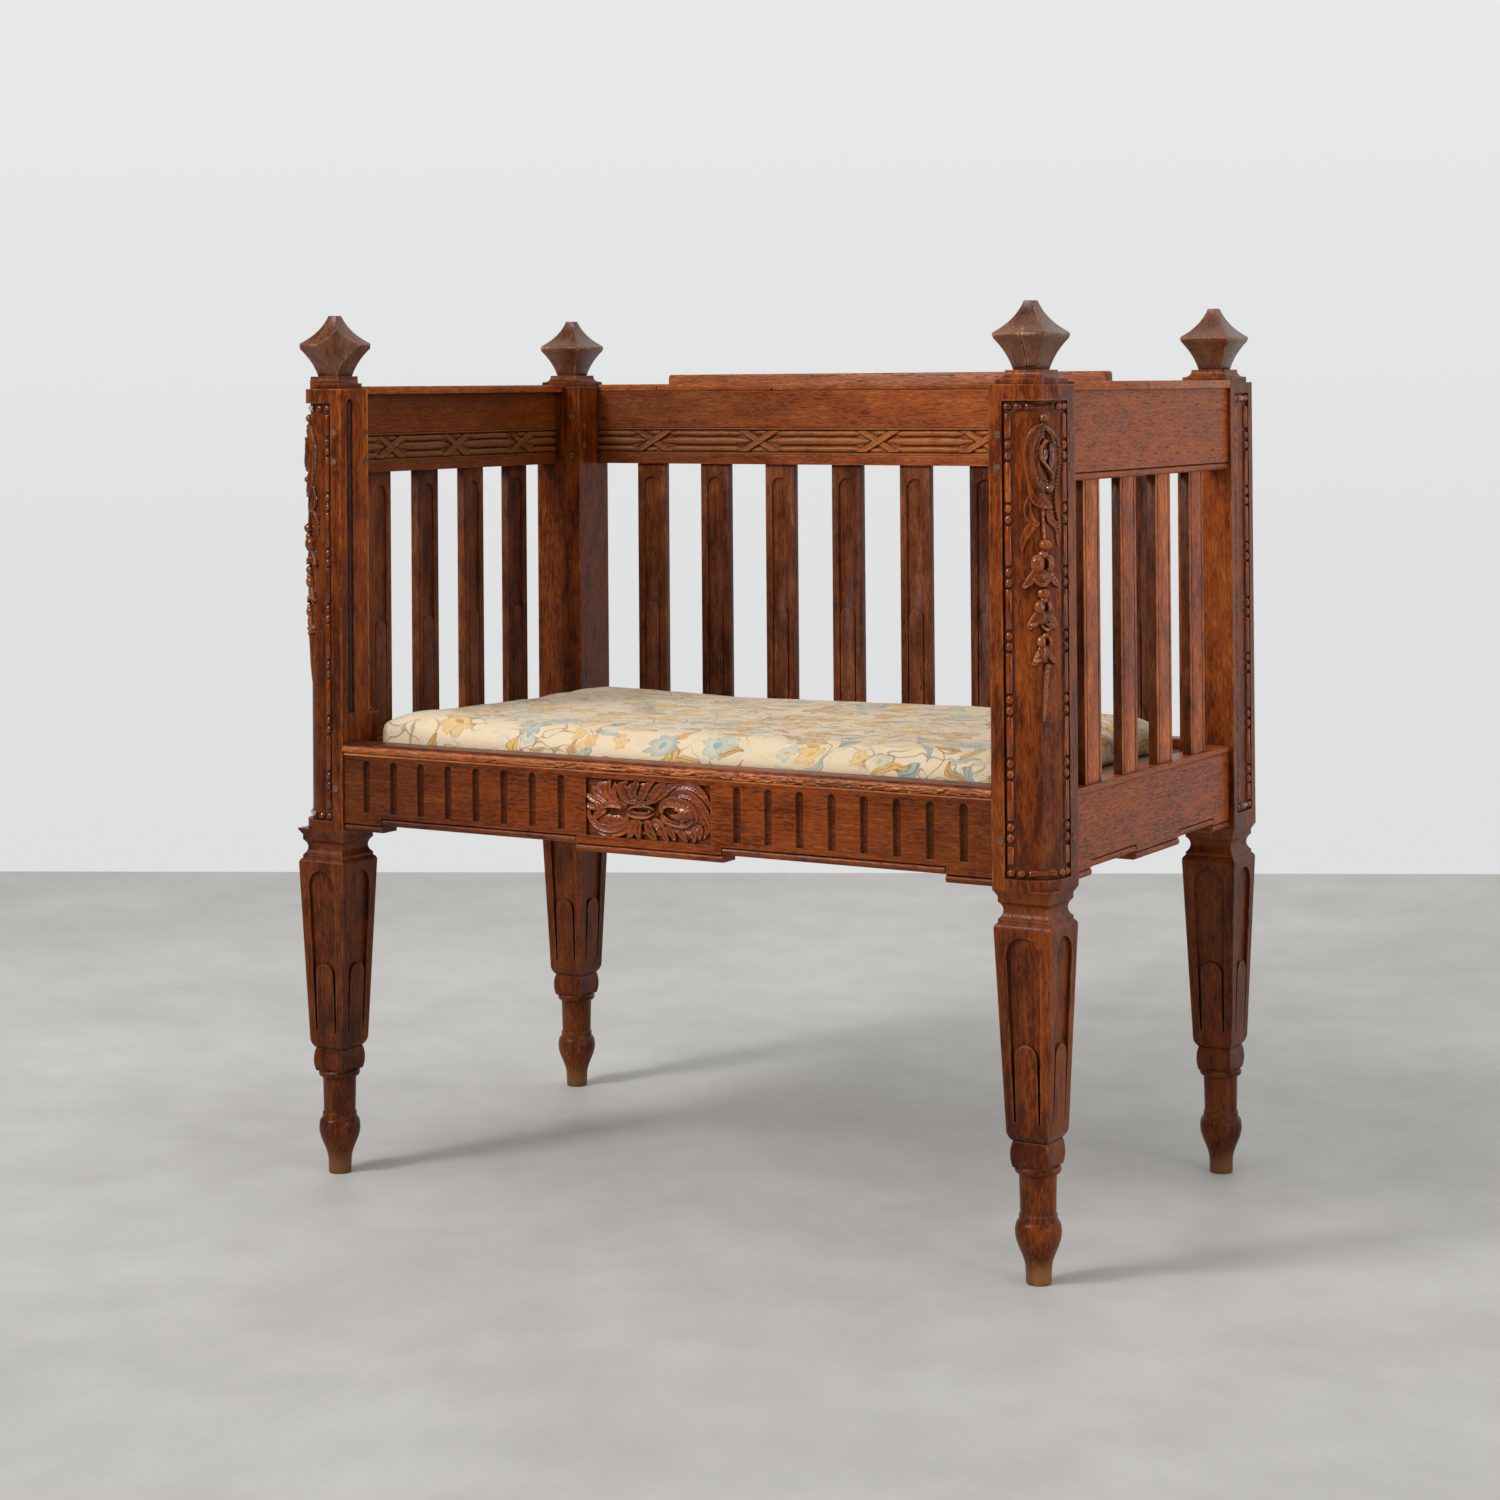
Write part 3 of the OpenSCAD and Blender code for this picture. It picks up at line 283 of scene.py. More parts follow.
SURFACES = {  # reach of the worn edges in metres, their strength, roughness, specular level
    "post": (0.003, 0.5, 0.3, 0.18), "rail": (0.003, 0.4, 0.32, 0.2),
    "apron": (0.003, 0.35, 0.3, 0.18), "slat": (0.0025, 0.4, 0.36, 0.2),
    "crest": (0.003, 0.6, 0.34, 0.2), "carving": (0.0008, 0.15, 0.14, 0.42),
    "nosing": (0.0008, 0.2, 0.3, 0.25), "finial": (0.004, 0.95, 0.3, 0.5),
    "inside": (0.003, 0.3, 0.6, 0.3), "peg": (0.001, 0.3, 0.5, 0.3),
}
FADES = {  # by finish and grain: the axis, from, to, the tone at from, the tone at to
    ("post", "z"): [(2, 0.42, 0.86, 0.74, 1.14)],
    ("apron", "x"): [(0, -0.44, 0.1, 0.42, 1.14), (0, 0.06, 0.42, 1.0, 0.55)],
    ("rail", "x"): [(0, -0.44, 0.16, 0.5, 1.16)],
}
LEG_FADE = (2, 0.33, 0.40, 0.78, 1.0)
RUBBED_TIP = (0.24, 0.11, 0.04)
print("finishes:", ", ".join(PALETTES))

# %% [markdown]
# ## How pale the wood is
#
# Rings, fibres and clouds add up to a shade, which later picks a colour from the palette. The
# broad boards are calm, and the small pieces are more mottled. Fades and leg tones darken the
# finished colour: the posts towards the bottom, the legs below the seat, the apron towards both
# ends and the rails along the back towards the left.

# %% Helpers for the shades of the oak
def faded(tree, where, colour, axis, low, high, first, last):
    """A colour times a tone that changes along one axis."""
    spot = add(tree, "ShaderNodeSeparateXYZ", Vector=where).outputs[axis]
    return scaled(tree, colour, between(tree, spot, low, high, first, last))


def leg_tone(tree, where, colour):
    """Legs are darker than the posts above them, and the foot tips are rubbed pale."""
    height = add(tree, "ShaderNodeSeparateXYZ", Vector=where).outputs[2]
    tip = between(tree, height, 0.008, 0.03, 0.75, 0.0)
    return blend_colours(tree, tip, faded(tree, where, colour, *LEG_FADE), RUBBED_TIP)


def wood_shade(tree, wood, piece, calm):
    """How pale the wood is at a point, from about 0 to 1."""
    fibres = calc(tree, "MULTIPLY_ADD", wood["Fibre"], 0.4 if calm else 0.34, 0.27)
    mix = calc(tree, "MULTIPLY_ADD", wood["Rings"], 0.1, fibres)
    mottle = 0.42 if calm else 0.62
    tone = calc(tree, "MULTIPLY_ADD", wood["Cloud"], mottle, -mottle / 2)
    board = calc(tree, "FRACT", calc(tree, "MULTIPLY", piece, 17.0))
    own = calc(tree, "MULTIPLY_ADD", board, 0.24, -0.12)
    return calc(tree, "ADD", calc(tree, "ADD", mix, tone), own)


# %% [markdown]
# ## One recipe for all the oak
#
# One recipe serves every wooden piece. The grain axis turns the pattern so that it runs along
# the piece, as a joiner would lay it. Over the wood's colour come the dark pores, the bare
# edges, the dirt and painted shade in the corners and hollows, and the piece's own tone. The
# carvings alone are polished.

# %% Mix the oak
GRAIN_TURN = {"x": (0, 0, 0), "y": (0, 0, -pi / 2), "z": (0, pi / 2, 0)}
ARRIS_RADIUS = 0.0011
oak_made = {}


def oak(finish, axis):
    """The oak material for one finish and one direction of the grain."""
    if (finish, axis) in oak_made:
        return oak_made[finish, axis]
    dark, mid, light, worn = PALETTES[finish]
    reach, wear_share, rough, shine = SURFACES[finish]
    material, tree = new_material(f"oak_{finish}_{axis}")
    where = add(tree, "ShaderNodeTexCoord").outputs["Object"]
    laid = add(tree, "ShaderNodeMapping", Vector=where, Rotation=GRAIN_TURN[axis])
    piece = kept_on_points(tree, "piece")
    wood = use_group(tree, grain, Vector=laid.outputs["Vector"], Piece=piece)
    shade = wood_shade(tree, wood, piece, finish in ("apron", "rail", "crest"))
    colour = blend_colours(tree, between(tree, shade, 0.05, 0.5), dark, mid)
    colour = blend_colours(tree, between(tree, shade, 0.5, 0.95), colour, light)
    pores = calc(tree, "MULTIPLY", wood["Pores"], 0.7)
    colour = blend_colours(tree, pores, colour, tuple(v * 0.45 for v in dark))

    rubbed = use_group(tree, wear_and_shade, Reach=reach, Vector=where)
    hollow = kept_on_points(tree, "hollow")
    ridge = calc(tree, "MULTIPLY", hollow, -0.3, clamp=True)
    edge = calc(tree, "MAXIMUM", calc(tree, "MULTIPLY", rubbed["Edge"], wear_share), ridge)
    colour = blend_colours(tree, edge, colour, worn)
    # Darkens corners and hollows: dirt there, and painted shade as well
    dirt_and_shade = calc(tree, "MULTIPLY", rubbed["Corner"], 0.45 if finish == "slat" else 0.8)
    dirt_and_shade = calc(tree, "MAXIMUM", dirt_and_shade, calc(tree, "MULTIPLY", hollow, 1.0, clamp=True))
    colour = blend_colours(tree, dirt_and_shade, colour, tuple(v * 0.35 for v in dark))
    if finish == "post":
        colour = leg_tone(tree, where, colour)
    for fade in FADES.get((finish, axis), []):
        colour = faded(tree, where, colour, *fade)
    colour = scaled(tree, colour, kept_on_points(tree, "tone"))

    polished = finish == "carving"
    cloudy, dull_pores, dull_edge = (0.05, 0.0, 0.0) if polished else (0.1, 0.2, 0.15)
    gloss = calc(tree, "MULTIPLY_ADD", wood["Cloud"], cloudy, rough - 0.03)
    gloss = calc(tree, "MULTIPLY_ADD", wood["Pores"], dull_pores, gloss)
    gloss = calc(tree, "MULTIPLY_ADD", edge, dull_edge, gloss)
    raised = calc(tree, "MULTIPLY", wood["Fibre"], 0.4)
    raised = calc(tree, "MULTIPLY_ADD", wood["Pores"], -0.6, raised)
    bump = add(tree, "ShaderNodeBump", Strength=0.08 if polished else 0.5, Distance=0.0005,
               Height=raised, Normal=use_group(tree, arris, Radius=ARRIS_RADIUS)["Normal"])
    shader = add(tree, "ShaderNodeBsdfPrincipled", Base_Color=colour, Roughness=gloss,
                 Specular_IOR_Level=shine, Normal=bump.outputs[0])
    if polished:
        shader.inputs["Coat Weight"].default_value = 0.12
        shader.inputs["Coat Roughness"].default_value = 0.1
    add(tree, "ShaderNodeOutputMaterial", Surface=shader.outputs[0])
    oak_made[finish, axis] = material
    return material


print("post oak:", len(oak("post", "z").node_tree.nodes), "nodes")

# %% [markdown]
# ## A tone for each piece
#
# Some boards have darkened more than others, because of light, hands and smoke. So each piece
# has a tone that its colour is multiplied by, and a piece that isn't listed has a tone of 1.
# Some tones are painted light and shade: the pieces on the right side are paler for the light
# from the right, and the left top rail and its band, facing away from it, darker as shaded.

# %% List the tones
SIDES = {"fl": "front_left", "fr": "front_right", "bl": "back_left", "br": "back_right"}
TONES = {
    "front_left_post": 0.62, "front_right_post": 0.98, "back_left_post": 0.68,
    "back_right_post": 0.9, "worn_crest_board": 0.73, "nosing_fillet": 0.9,
    # Painted shade: the left top rail's inner face lies in shade, so its tone is darker
    "carved_left_top_rail": 0.58, "carved_left_seat_rail": 0.8, "carved_back_top_rail": 1.05,
    # Painted light: the right rails are paler, lit from the right
    "carved_right_top_rail": 1.3, "carved_right_seat_rail": 1.25, "carved_front_apron": 0.87,
    **{f"fluted_left_slat_{i}": 0.85 for i in range(1, 5)},
    # Painted light: the right slats are much paler, lit from the right
    **{f"fluted_right_slat_{i}": 2.6 for i in range(1, 5)},
    **{f"fluted_back_slat_{i}": 0.85 for i in range(1, 9)},
    "front_left_beads": 0.6, "front_left_hanging_drop": 0.55, "front_right_hanging_drop": 0.85,
    # Painted shade: the dark floors under the bead strings stand for the shade in their channels
    **{f"{side}_bead_shadow_bed": 0.25 for side in SIDES.values()},
    # Painted shade: the left ribbon band lies in shade on the left rail's inner face
    "back_ribbon_band": 0.85, "left_ribbon_band": 0.56,
}
print("pieces with a tone of their own:", len(TONES))

# %% [markdown]
# ## Working on one object at a time
#
# An operator acts on all that is selected, so one object is selected alone before each. Points
# are read and moved as one array, which is much faster than one by one. A number can be kept
# on every point of a mesh, where a material can read it.

# %% Helpers for objects and their points
def only(obj):
    """Selects one object alone, ready for an operator."""
    bpy.ops.object.select_all(action="DESELECT")
    obj.select_set(True)
    bpy.context.view_layer.objects.active = obj


def fresh(operator, **settings):
    """Adds a primitive or a lamp with nothing else selected."""
    bpy.ops.object.select_all(action="DESELECT")
    operator(**settings)
    return bpy.context.object


def modify(obj, kind, **settings):
    """Gives an object one modifier and applies it."""
    only(obj)
    modifier = obj.modifiers.new(kind.lower(), kind)
    for key, value in settings.items():
        setattr(modifier, key, value)
    bpy.ops.object.modifier_apply(modifier=modifier.name)


def new_object(name, points, faces):
    mesh = bpy.data.meshes.new(name)
    mesh.from_pydata(points.tolist(), [], faces)
    obj = bpy.data.objects.new(name, mesh)
    scene.collection.objects.link(obj)
    return obj


def points_of(obj):
    flat = np.empty(len(obj.data.vertices) * 3, np.float32)
    obj.data.vertices.foreach_get("co", flat)
    return flat.reshape(-1, 3).astype(float)


def move_points(obj, points):
    obj.data.vertices.foreach_set("co", points.ravel().astype(np.float32))
    obj.data.update()


def keep_number(obj, name, value):
    """Keeps a number on every point, for the material to read: one for all, or one for each."""
    mark = obj.data.attributes.new(name, "FLOAT", "POINT")
    mark.data.foreach_set("value", np.full(len(obj.data.vertices), value, np.float32))


def change_tone(obj, new_tone):
    """Gives every point a new tone, from its place and the tone that it has."""
    tones = obj.data.attributes["tone"].data
    for point in obj.data.vertices:
        tones[point.index].value = new_tone(point.co, tones[point.index].value)


# %% [markdown]
# ## From solids to dressed pieces
#
# A solid from the model is a cloud of loose triangles, so its copy is merged first. The
# copy then stands for the solid. A number kept on every point tells the grain group which
# board this is, so that no two neighbours were cut from the same place in the log.

# %% Helpers for making and finishing a piece
SMOOTH_ANGLE = radians(32)
GOLDEN = 0.618034       # steps of this share never land in the same place twice
made = []


def finish_piece(obj, name, material, replaces=()):
    """Names a piece, gives it its material, and lets it ride on the settle."""
    obj.name = obj.data.name = name
    obj.data.materials.clear()
    obj.data.materials.append(material)
    keep_number(obj, "piece", (len(made) * GOLDEN) % 1)
    keep_number(obj, "tone", TONES.get(name, 1.0))
    only(obj)
    bpy.ops.object.shade_smooth_by_angle(angle=SMOOTH_ANGLE)
    if replaces:
        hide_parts(*replaces)
    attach(obj, "root")
    made.append(obj)
    return obj


def merged_copy(node):
    """A copy of a solid's mesh with its loose triangles joined and its flat faces made whole."""
    obj = bpy.data.objects.new(node + "_copy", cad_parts[node].data.copy())
    scene.collection.objects.link(obj)
    only(obj)
    bpy.ops.object.mode_set(mode="EDIT")
    bpy.ops.mesh.select_all(action="SELECT")
    bpy.ops.mesh.remove_doubles(threshold=1e-6)
    bpy.ops.mesh.dissolve_limited(angle_limit=radians(0.3))
    bpy.ops.object.mode_set(mode="OBJECT")
    if obj.data.has_custom_normals:
        bpy.ops.mesh.customdata_custom_splitnormals_clear()
    return obj


# %% [markdown]
# ## Cuts, pockets and rounded edges
#
# Tools and age take wood away: a pocket sunk for a carving, a drying crack, a corner rubbed
# flat, an edge rounded by hands. A boolean takes a box out of a solid and leaves clean edges,
# a bisect slices off all that lies beyond a plane, and a bevel rounds what is still sharp.

# %% Helpers for cutting
def soften(obj, width, angle=40):
    """Rounds the sharp edges of a plain piece by a bevel."""
    modify(obj, "BEVEL", width=width, segments=2, limit_method="ANGLE", angle_limit=radians(angle))


def subtract(obj, cutter):
    modify(obj, "BOOLEAN", object=cutter, solver="EXACT")
    bpy.data.objects.remove(cutter)


def cut_box(obj, middle, size):
    """Cuts a box out of a piece: a pocket, or a fine crack."""
    cutter = fresh(bpy.ops.mesh.primitive_cube_add, size=1)
    bpy.ops.object.mode_set(mode="EDIT")
    bpy.ops.transform.resize(value=size)
    bpy.ops.transform.translate(value=middle)
    bpy.ops.object.mode_set(mode="OBJECT")
    subtract(obj, cutter)


def slice_off(obj, point, normal):
    """Slices off all that lies beyond a plane and closes the cut."""
    only(obj)
    bpy.ops.object.mode_set(mode="EDIT")
    bpy.ops.mesh.select_all(action="SELECT")
    bpy.ops.mesh.bisect(plane_co=point, plane_no=normal, use_fill=True, clear_outer=True)
    bpy.ops.object.mode_set(mode="OBJECT")


# %% [markdown]
# ## Posts and finials
#
# The posts are already true in shape. Each becomes a merged copy with the grain laid along it.
# They are full of mouldings whose short edges would spoil a bevel, so their arrises are left to
# the shader. Each finial is a faceted block whose four points years of hands have rubbed away.
# One has a worn flat facet, and one is split by a crack.

# %% Dress the posts and the finials
POST_X = 431 * MM
BAY_X, BAY_Y = 399.2 * MM, 206.2 * MM       # half the openings between the posts
LEG_TOP = 0.37
GROOVE_X, GROOVE_Y = (BAY_X + 0.6 * MM, BAY_X + 4.4 * MM), (0.246, 0.2595)
FINIAL_HALF, FINIAL_Z = 29 * MM, 0.921
FINIAL_GROWTH = 1.035
TIP_REACH = 39.4 * MM
FACET_OUT, FACET_NORMAL = Vector((0.7276, -0.686, 0)), (0.7267, -0.6851, 0.049)
FACET_REACH = 18.9 * MM
SPLIT_AT, SPLIT_SIZE = Vector((2 * MM, -19 * MM, -8 * MM)), (0.9 * MM, 24 * MM, 37 * MM)


def post_tone(key, co, tone):
    """Legs have a tone of their own, the long grooves are darker, and one inner face is paler."""
    if co.z < LEG_TOP:
        # Painted light: the right face of the front right leg is paler, lit from the right
        return 1.4 if key == "fr" and co.x > POST_X else 0.86
    if GROOVE_X[0] < abs(co.x) < GROOVE_X[1] and GROOVE_Y[0] < abs(co.y) < GROOVE_Y[1]:
        # The grooves are darker, for grime and for painted shade
        return tone * 0.4
    if key == "fl" and abs(co.x) < BAY_X + 0.5 * MM:
        return tone * 1.65
    return tone


def finial_middle(key):
    """The middle of a finial at the height of its points; the worn one is set by its mate."""
    low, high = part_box(f"{key}_finial")
    if key == "fl":
        return Vector((-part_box("fr_finial")[0].x - FINIAL_HALF, low.y + FINIAL_HALF, FINIAL_Z))
    return Vector(((low.x + high.x) / 2, (low.y + high.y) / 2, FINIAL_Z))


def blunt(obj, middle):
    """Years of hands have rubbed the four points of a finial away."""
    only(obj)
    bpy.ops.object.mode_set(mode="EDIT")
    bpy.ops.mesh.select_all(action="SELECT")
    bpy.ops.transform.resize(value=(FINIAL_GROWTH, FINIAL_GROWTH, 1), center_override=middle)
    bpy.ops.object.mode_set(mode="OBJECT")
    for x, y in ((1, 1), (1, -1), (-1, 1), (-1, -1)):
        out = Vector((x, y, 0)).normalized()
        slice_off(obj, middle + out * TIP_REACH, out)


for key, side in SIDES.items():
    post = merged_copy(f"{key}_post")
    finish_piece(post, f"{side}_post", oak("post", "z"), [f"{key}_post"])
    change_tone(post, lambda co, tone: post_tone(key, co, tone))
    finial, middle = merged_copy(f"{key}_finial"), finial_middle(key)
    blunt(finial, middle)
    if key == "fl":
        slice_off(finial, middle + FACET_OUT * FACET_REACH, FACET_NORMAL)
    if key == "fr":
        cut_box(finial, middle + SPLIT_AT, SPLIT_SIZE)
    soften(finial, 1.3 * MM, 25)
    finish_piece(finial, f"{side}_finial", oak("finial", "z"), [f"{key}_finial"])
print("posts and finials:", len(made))

# %% [markdown]
# ## Rails and the fluted apron
#
# The grain runs along each rail. The top rails are sunk in a long band that the carved ribbons
# fill later. The flutes of the apron were scooped upright with a gouge, so a ball pulled long
# is taken out of the wood: its head stays round and its foot is nearly flat. The flutes are
# darker inside, for grime and for painted shade.

# %% Dress the rails
RAILS = {
    "front_apron": "x", "back_seat_rail": "x", "back_top_rail": "x",
    "left_seat_rail": "y", "right_seat_rail": "y", "left_top_rail": "y", "right_top_rail": "y",
}
rails = {node: merged_copy(node) for node in RAILS}
BAND_LOW, BAND_HIGH, BAND_DEEP = 793.5 * MM, 827 * MM, 3.7 * MM
BAND_Z, BAND_TALL = (BAND_LOW + BAND_HIGH) / 2, BAND_HIGH - BAND_LOW
BACK_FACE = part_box("back_top_rail")[0].y
LEFT_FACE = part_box("left_top_rail")[1].x
SIDE_POCKET = (2 * BAND_DEEP, 2 * BAY_Y, BAND_TALL)
cut_box(rails["back_top_rail"], (0, BACK_FACE, BAND_Z), (2 * BAY_X, 2 * BAND_DEEP, BAND_TALL))
cut_box(rails["left_top_rail"], (LEFT_FACE, 0, BAND_Z), SIDE_POCKET)
cut_box(rails["right_top_rail"], (-LEFT_FACE, 0, BAND_Z), SIDE_POCKET)

APRON_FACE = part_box("front_apron")[0].y + 2.5 * MM
FLUTE_R, FLUTE_LOW, FLUTE_HIGH = 4.7 * MM, 410.5 * MM, 467.4 * MM
FLUTE_FOOT = 0.3        # the foot of a flute against a round one
FLUTES = [side * (108.5 + 37 * i) * MM for side in (-1, 1) for i in range(8)]


def cut_flutes(apron):
    """Scoops the upright flutes wider, as a gouge leaves them, with a round head."""
    ball = fresh(bpy.ops.mesh.primitive_uv_sphere_add, segments=20, ring_count=10, radius=FLUTE_R)
    p = points_of(ball)
    head, foot = FLUTE_HIGH - FLUTE_R, FLUTE_LOW + FLUTE_FOOT * FLUTE_R
    p[:, 2] = np.where(p[:, 2] > -1e-6, p[:, 2] + head, FLUTE_FOOT * p[:, 2] + foot)
    faces = [list(face.vertices) for face in ball.data.polygons]
    bpy.data.objects.remove(ball)
    places = [p + (x, APRON_FACE - 0.5 * MM, 0) for x in FLUTES]
    gouges = [[i + n * len(p) for i in face] for n in range(len(FLUTES)) for face in faces]
    subtract(apron, new_object("gouges", np.concatenate(places), gouges))


def apron_tone(co, tone):
    """The deeper in a flute, the darker: grime, and painted shade."""
    deep = (co.y - APRON_FACE) / MM
    by_flute = min(abs(co.x - x) for x in FLUTES) < FLUTE_R
    if by_flute and 0.2 < deep < 6 and FLUTE_LOW - MM < co.z < FLUTE_HIGH + MM:
        return 1 - 0.42 * min(deep / 2.5, 1)
    return tone


cut_flutes(rails["front_apron"])
for node, axis in RAILS.items():
    look = "apron" if node == "front_apron" else "rail"
    finish_piece(rails[node], f"carved_{node}", oak(look, axis), [node])
change_tone(rails["front_apron"], apron_tone)
print("flutes:", len(FLUTES), "pieces so far:", len(made))

# %% [markdown]
# ## Boards, slats and pegs
#
# The slats and boards have long plain edges, so theirs are really rounded by a bevel. The
# faded crest board and a cap strip have drying cracks. The boards and ledgers under the
# cushion were never polished.

# %% Dress the boards, slats and pegs
BOARDS = [  # the node, its grain and its finish
    ("crest_board", "x", "crest"), ("left_cap_strip", "y", "crest"),
    ("right_cap_strip", "y", "crest"), ("front_ledger", "x", "inside"),
    ("back_ledger", "x", "inside"), ("left_ledger", "y", "inside"),
    ("right_ledger", "y", "inside"), ("front_board", "x", "inside"),
    ("middle_board", "x", "inside"), ("back_board", "x", "inside"),
]
CREST_FACE, CAP_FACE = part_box("crest_board")[0].y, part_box("right_cap_strip")[1].x
CRACKS = {  # middle and size of each
    "crest_board": [((-0.313, CREST_FACE, 0.874), (0.0016, 0.006, 0.008)),
                    ((-0.147, CREST_FACE, 0.8725), (0.0026, 0.005, 0.004))],
    "right_cap_strip": [((CAP_FACE, -0.0227, 0.875), (0.004, 0.0014, 0.03))],
}
SHADED_FACE = 0.6       # tone of the inner faces of the right slats
for node, axis, look in BOARDS:
    board = merged_copy(node)
    soften(board, 1.2 * MM)
    for crack in CRACKS.get(node, []):
        cut_box(board, *crack)
    finish_piece(board, f"worn_{node}", oak(look, axis), [node])

for node in sorted(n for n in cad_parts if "_slat_" in n):
    slat = merged_copy(node)
    soften(slat, 0.5 * MM)
    finish_piece(slat, f"fluted_{node}", oak("slat", "z"), [node])
    # Painted light and shade: the outer faces, lit from the right, keep the pale tone, and the
    # other faces are painted shaded
    if node.startswith("right"):
        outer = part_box(node)[1].x - 0.4 * MM
        change_tone(slat, lambda co, tone: SHADED_FACE if co.x < outer else tone)

finish_piece(merged_copy("pegs"), "dark_pegs", oak("peg", "x"), ["pegs"])
print("dressed", len(made), "pieces")

# %% [markdown]
# ## Where the mouldings of a post lie
#
# Each post is sunk on its outer sides, and a frame of carved beads lies in the sunk field. The
# front posts have a rounded corner. So the mouldings are modelled flat, and a point's distance
# along the flat row becomes a distance along the front, round the corner and along the side.

# %% Lay flat points on the posts
POST = 31.75 * MM       # half the width of a post
SINK = 3 * MM
FIELD = POST - SINK
CORNER_R = 32 * MM
CORNER_C = FIELD - CORNER_R
POST_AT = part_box("br_post")[1] - Vector((POST, POST, 0))
FIELD_LEFT = 14 * MM - POST
FIELD_BACK = POST - 17.5 * MM
FRONT_FLAT = CORNER_C - FIELD_LEFT
ARC = CORNER_R * pi / 2
ROW = FRONT_FLAT + ARC + FIELD_BACK + CORNER_C


def on_front_post(flat):
    """Flat points (along, -height, z) laid on the sunk field of the front right post."""
    along, height, z = flat[:, 0], -flat[:, 1], flat[:, 2]
    turn = np.clip((along - FRONT_FLAT) / CORNER_R, 0, pi / 2)
    x = CORNER_C + (CORNER_R + height) * np.sin(turn) + np.minimum(along - FRONT_FLAT, 0)
    y = -CORNER_C - (CORNER_R + height) * np.cos(turn) + np.maximum(along - FRONT_FLAT - ARC, 0)
    return np.column_stack([x + POST_AT.x, y - POST_AT.y, z])


def on_back_post(flat):
    """Flat points laid on the outer side of the back right post, starting at its front edge."""
    x, y = POST_AT.x + FIELD - flat[:, 1], POST_AT.y - POST + flat[:, 0]
    return np.column_stack([x, y, flat[:, 2]])


def on_corner(flat):
    """Flat points laid on the front right post, centred on its rounded corner."""
    return on_front_post(flat + (FRONT_FLAT + ARC / 2, 0, 0))


print("row round the corner:", round(ROW / MM, 1), "mm")

# %% [markdown]
# ## Bead and reel
#
# The post panels are framed by a string of round beads and long reels. On a real post they
# are cut from the wood with a gouge. Here one bead and one reel of each length are modelled,
# as a ball and a rod with their undersides sliced off, and copies are laid in rows.

# %% Model one bead and the reels
UNDERSIDE = 0.4 * MM
REEL_EDGE = 1.3 * MM


def flat_bottom(obj):
    """Leaves edit mode and slices off what would lie in the wood."""
    bpy.ops.object.mode_set(mode="OBJECT")
    slice_off(obj, (0, UNDERSIDE, 0), (0, 1, 0))
    return obj


def model_bead(length, width, rise):
    obj = fresh(bpy.ops.mesh.primitive_uv_sphere_add, segments=12, ring_count=8, radius=1)
    bpy.ops.object.mode_set(mode="EDIT")
    bpy.ops.transform.resize(value=(width / 2, rise, length / 2))
    return flat_bottom(obj)


def model_reel(length, width, rise):
    obj = fresh(bpy.ops.mesh.primitive_cylinder_add, vertices=14, radius=1, depth=1)
    bpy.ops.object.mode_set(mode="EDIT")
    bpy.ops.transform.resize(value=(width / 2, rise, length))
    for edge in bmesh.from_edit_mesh(obj.data).edges:
        edge.select = abs(edge.verts[0].co.z - edge.verts[1].co.z) < length / 10
    bpy.ops.mesh.bevel(offset=REEL_EDGE, segments=2, affect="EDGES")
    return flat_bottom(obj)


bead = model_bead(10 * MM, 8.2 * MM, 3.9 * MM)
reels = {length: model_reel(length * MM, 7.6 * MM, 3.5 * MM) for length in (39, 27, 24, 18, 12)}
print("bead:", len(bead.data.polygons), "faces, reel:", len(reels[39].data.polygons), "faces")

# %% [markdown]
# ## Rows of beads
#
# Pairs of beads and long reels take turns up each side of a panel, and a short row closes it
# above and below. A list says where each goes, and one function joins the copies and lays
# them on a post. A level row is the same as an upright one after a quarter turn.

# %% Helpers for rows of beads
STRING = 5.6 * MM       # from the field's edge to the middle of a string
PAIR_TOP, PERIOD, PAIR = 813.5 * MM, 61.9 * MM, 5.3 * MM
PAIR_END = 10.5 * MM
BEAD_END = 5.5 * MM
FIELD_Z = tuple(corner.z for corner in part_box("fr_beading"))
BACK_Z = tuple(corner.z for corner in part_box("br_beading"))
BACK_LEFT, BACK_RIGHT = 9.5 * MM + STRING, 52.5 * MM - STRING


def stamp(places, lay, name, mirror=False):
    """Joins copies of flat masters: each place is (master, along, z, quarter turn)."""
    points, faces = [], []
    for master, along, z, turned in places:
        start = sum(len(p) for p in points)
        local = points_of(master)
        if turned:
            local = local[:, [2, 1, 0]] * (1, 1, -1)
        points.append(local + (along, 0, z))
        faces += [[start + i for i in face.vertices] for face in master.data.polygons]
    laid = lay(np.concatenate(points))
    if mirror:
        laid, faces = laid * (-1, 1, 1), [list(reversed(face)) for face in faces]
    return new_object(name, laid, faces)


def upright_string(along, low, high):
    pairs = [PAIR_TOP - i * PERIOD for i in range(7)]
    places = [(bead, along, z + side * PAIR, False) for z in pairs for side in (1, -1)]
    places += [(reels[39], along, z - PERIOD / 2, False) for z in pairs[:-1]]
    head = (high - STRING - BEAD_END + pairs[0] + PAIR_END) / 2
    tail = (low + STRING + BEAD_END + pairs[-1] - PAIR_END) / 2
    return places + [(reels[24], along, head, False), (reels[18], along, tail, False)]


def frame_of_strings(left, right, heights, row):
    """Two upright strings, and a row of marks below and above."""
    low, high = heights
    return (upright_string(left, low, high) + upright_string(right, low, high)
            + [(master, along, z, True) for z in (low + STRING, high - STRING)
               for master, along in row])


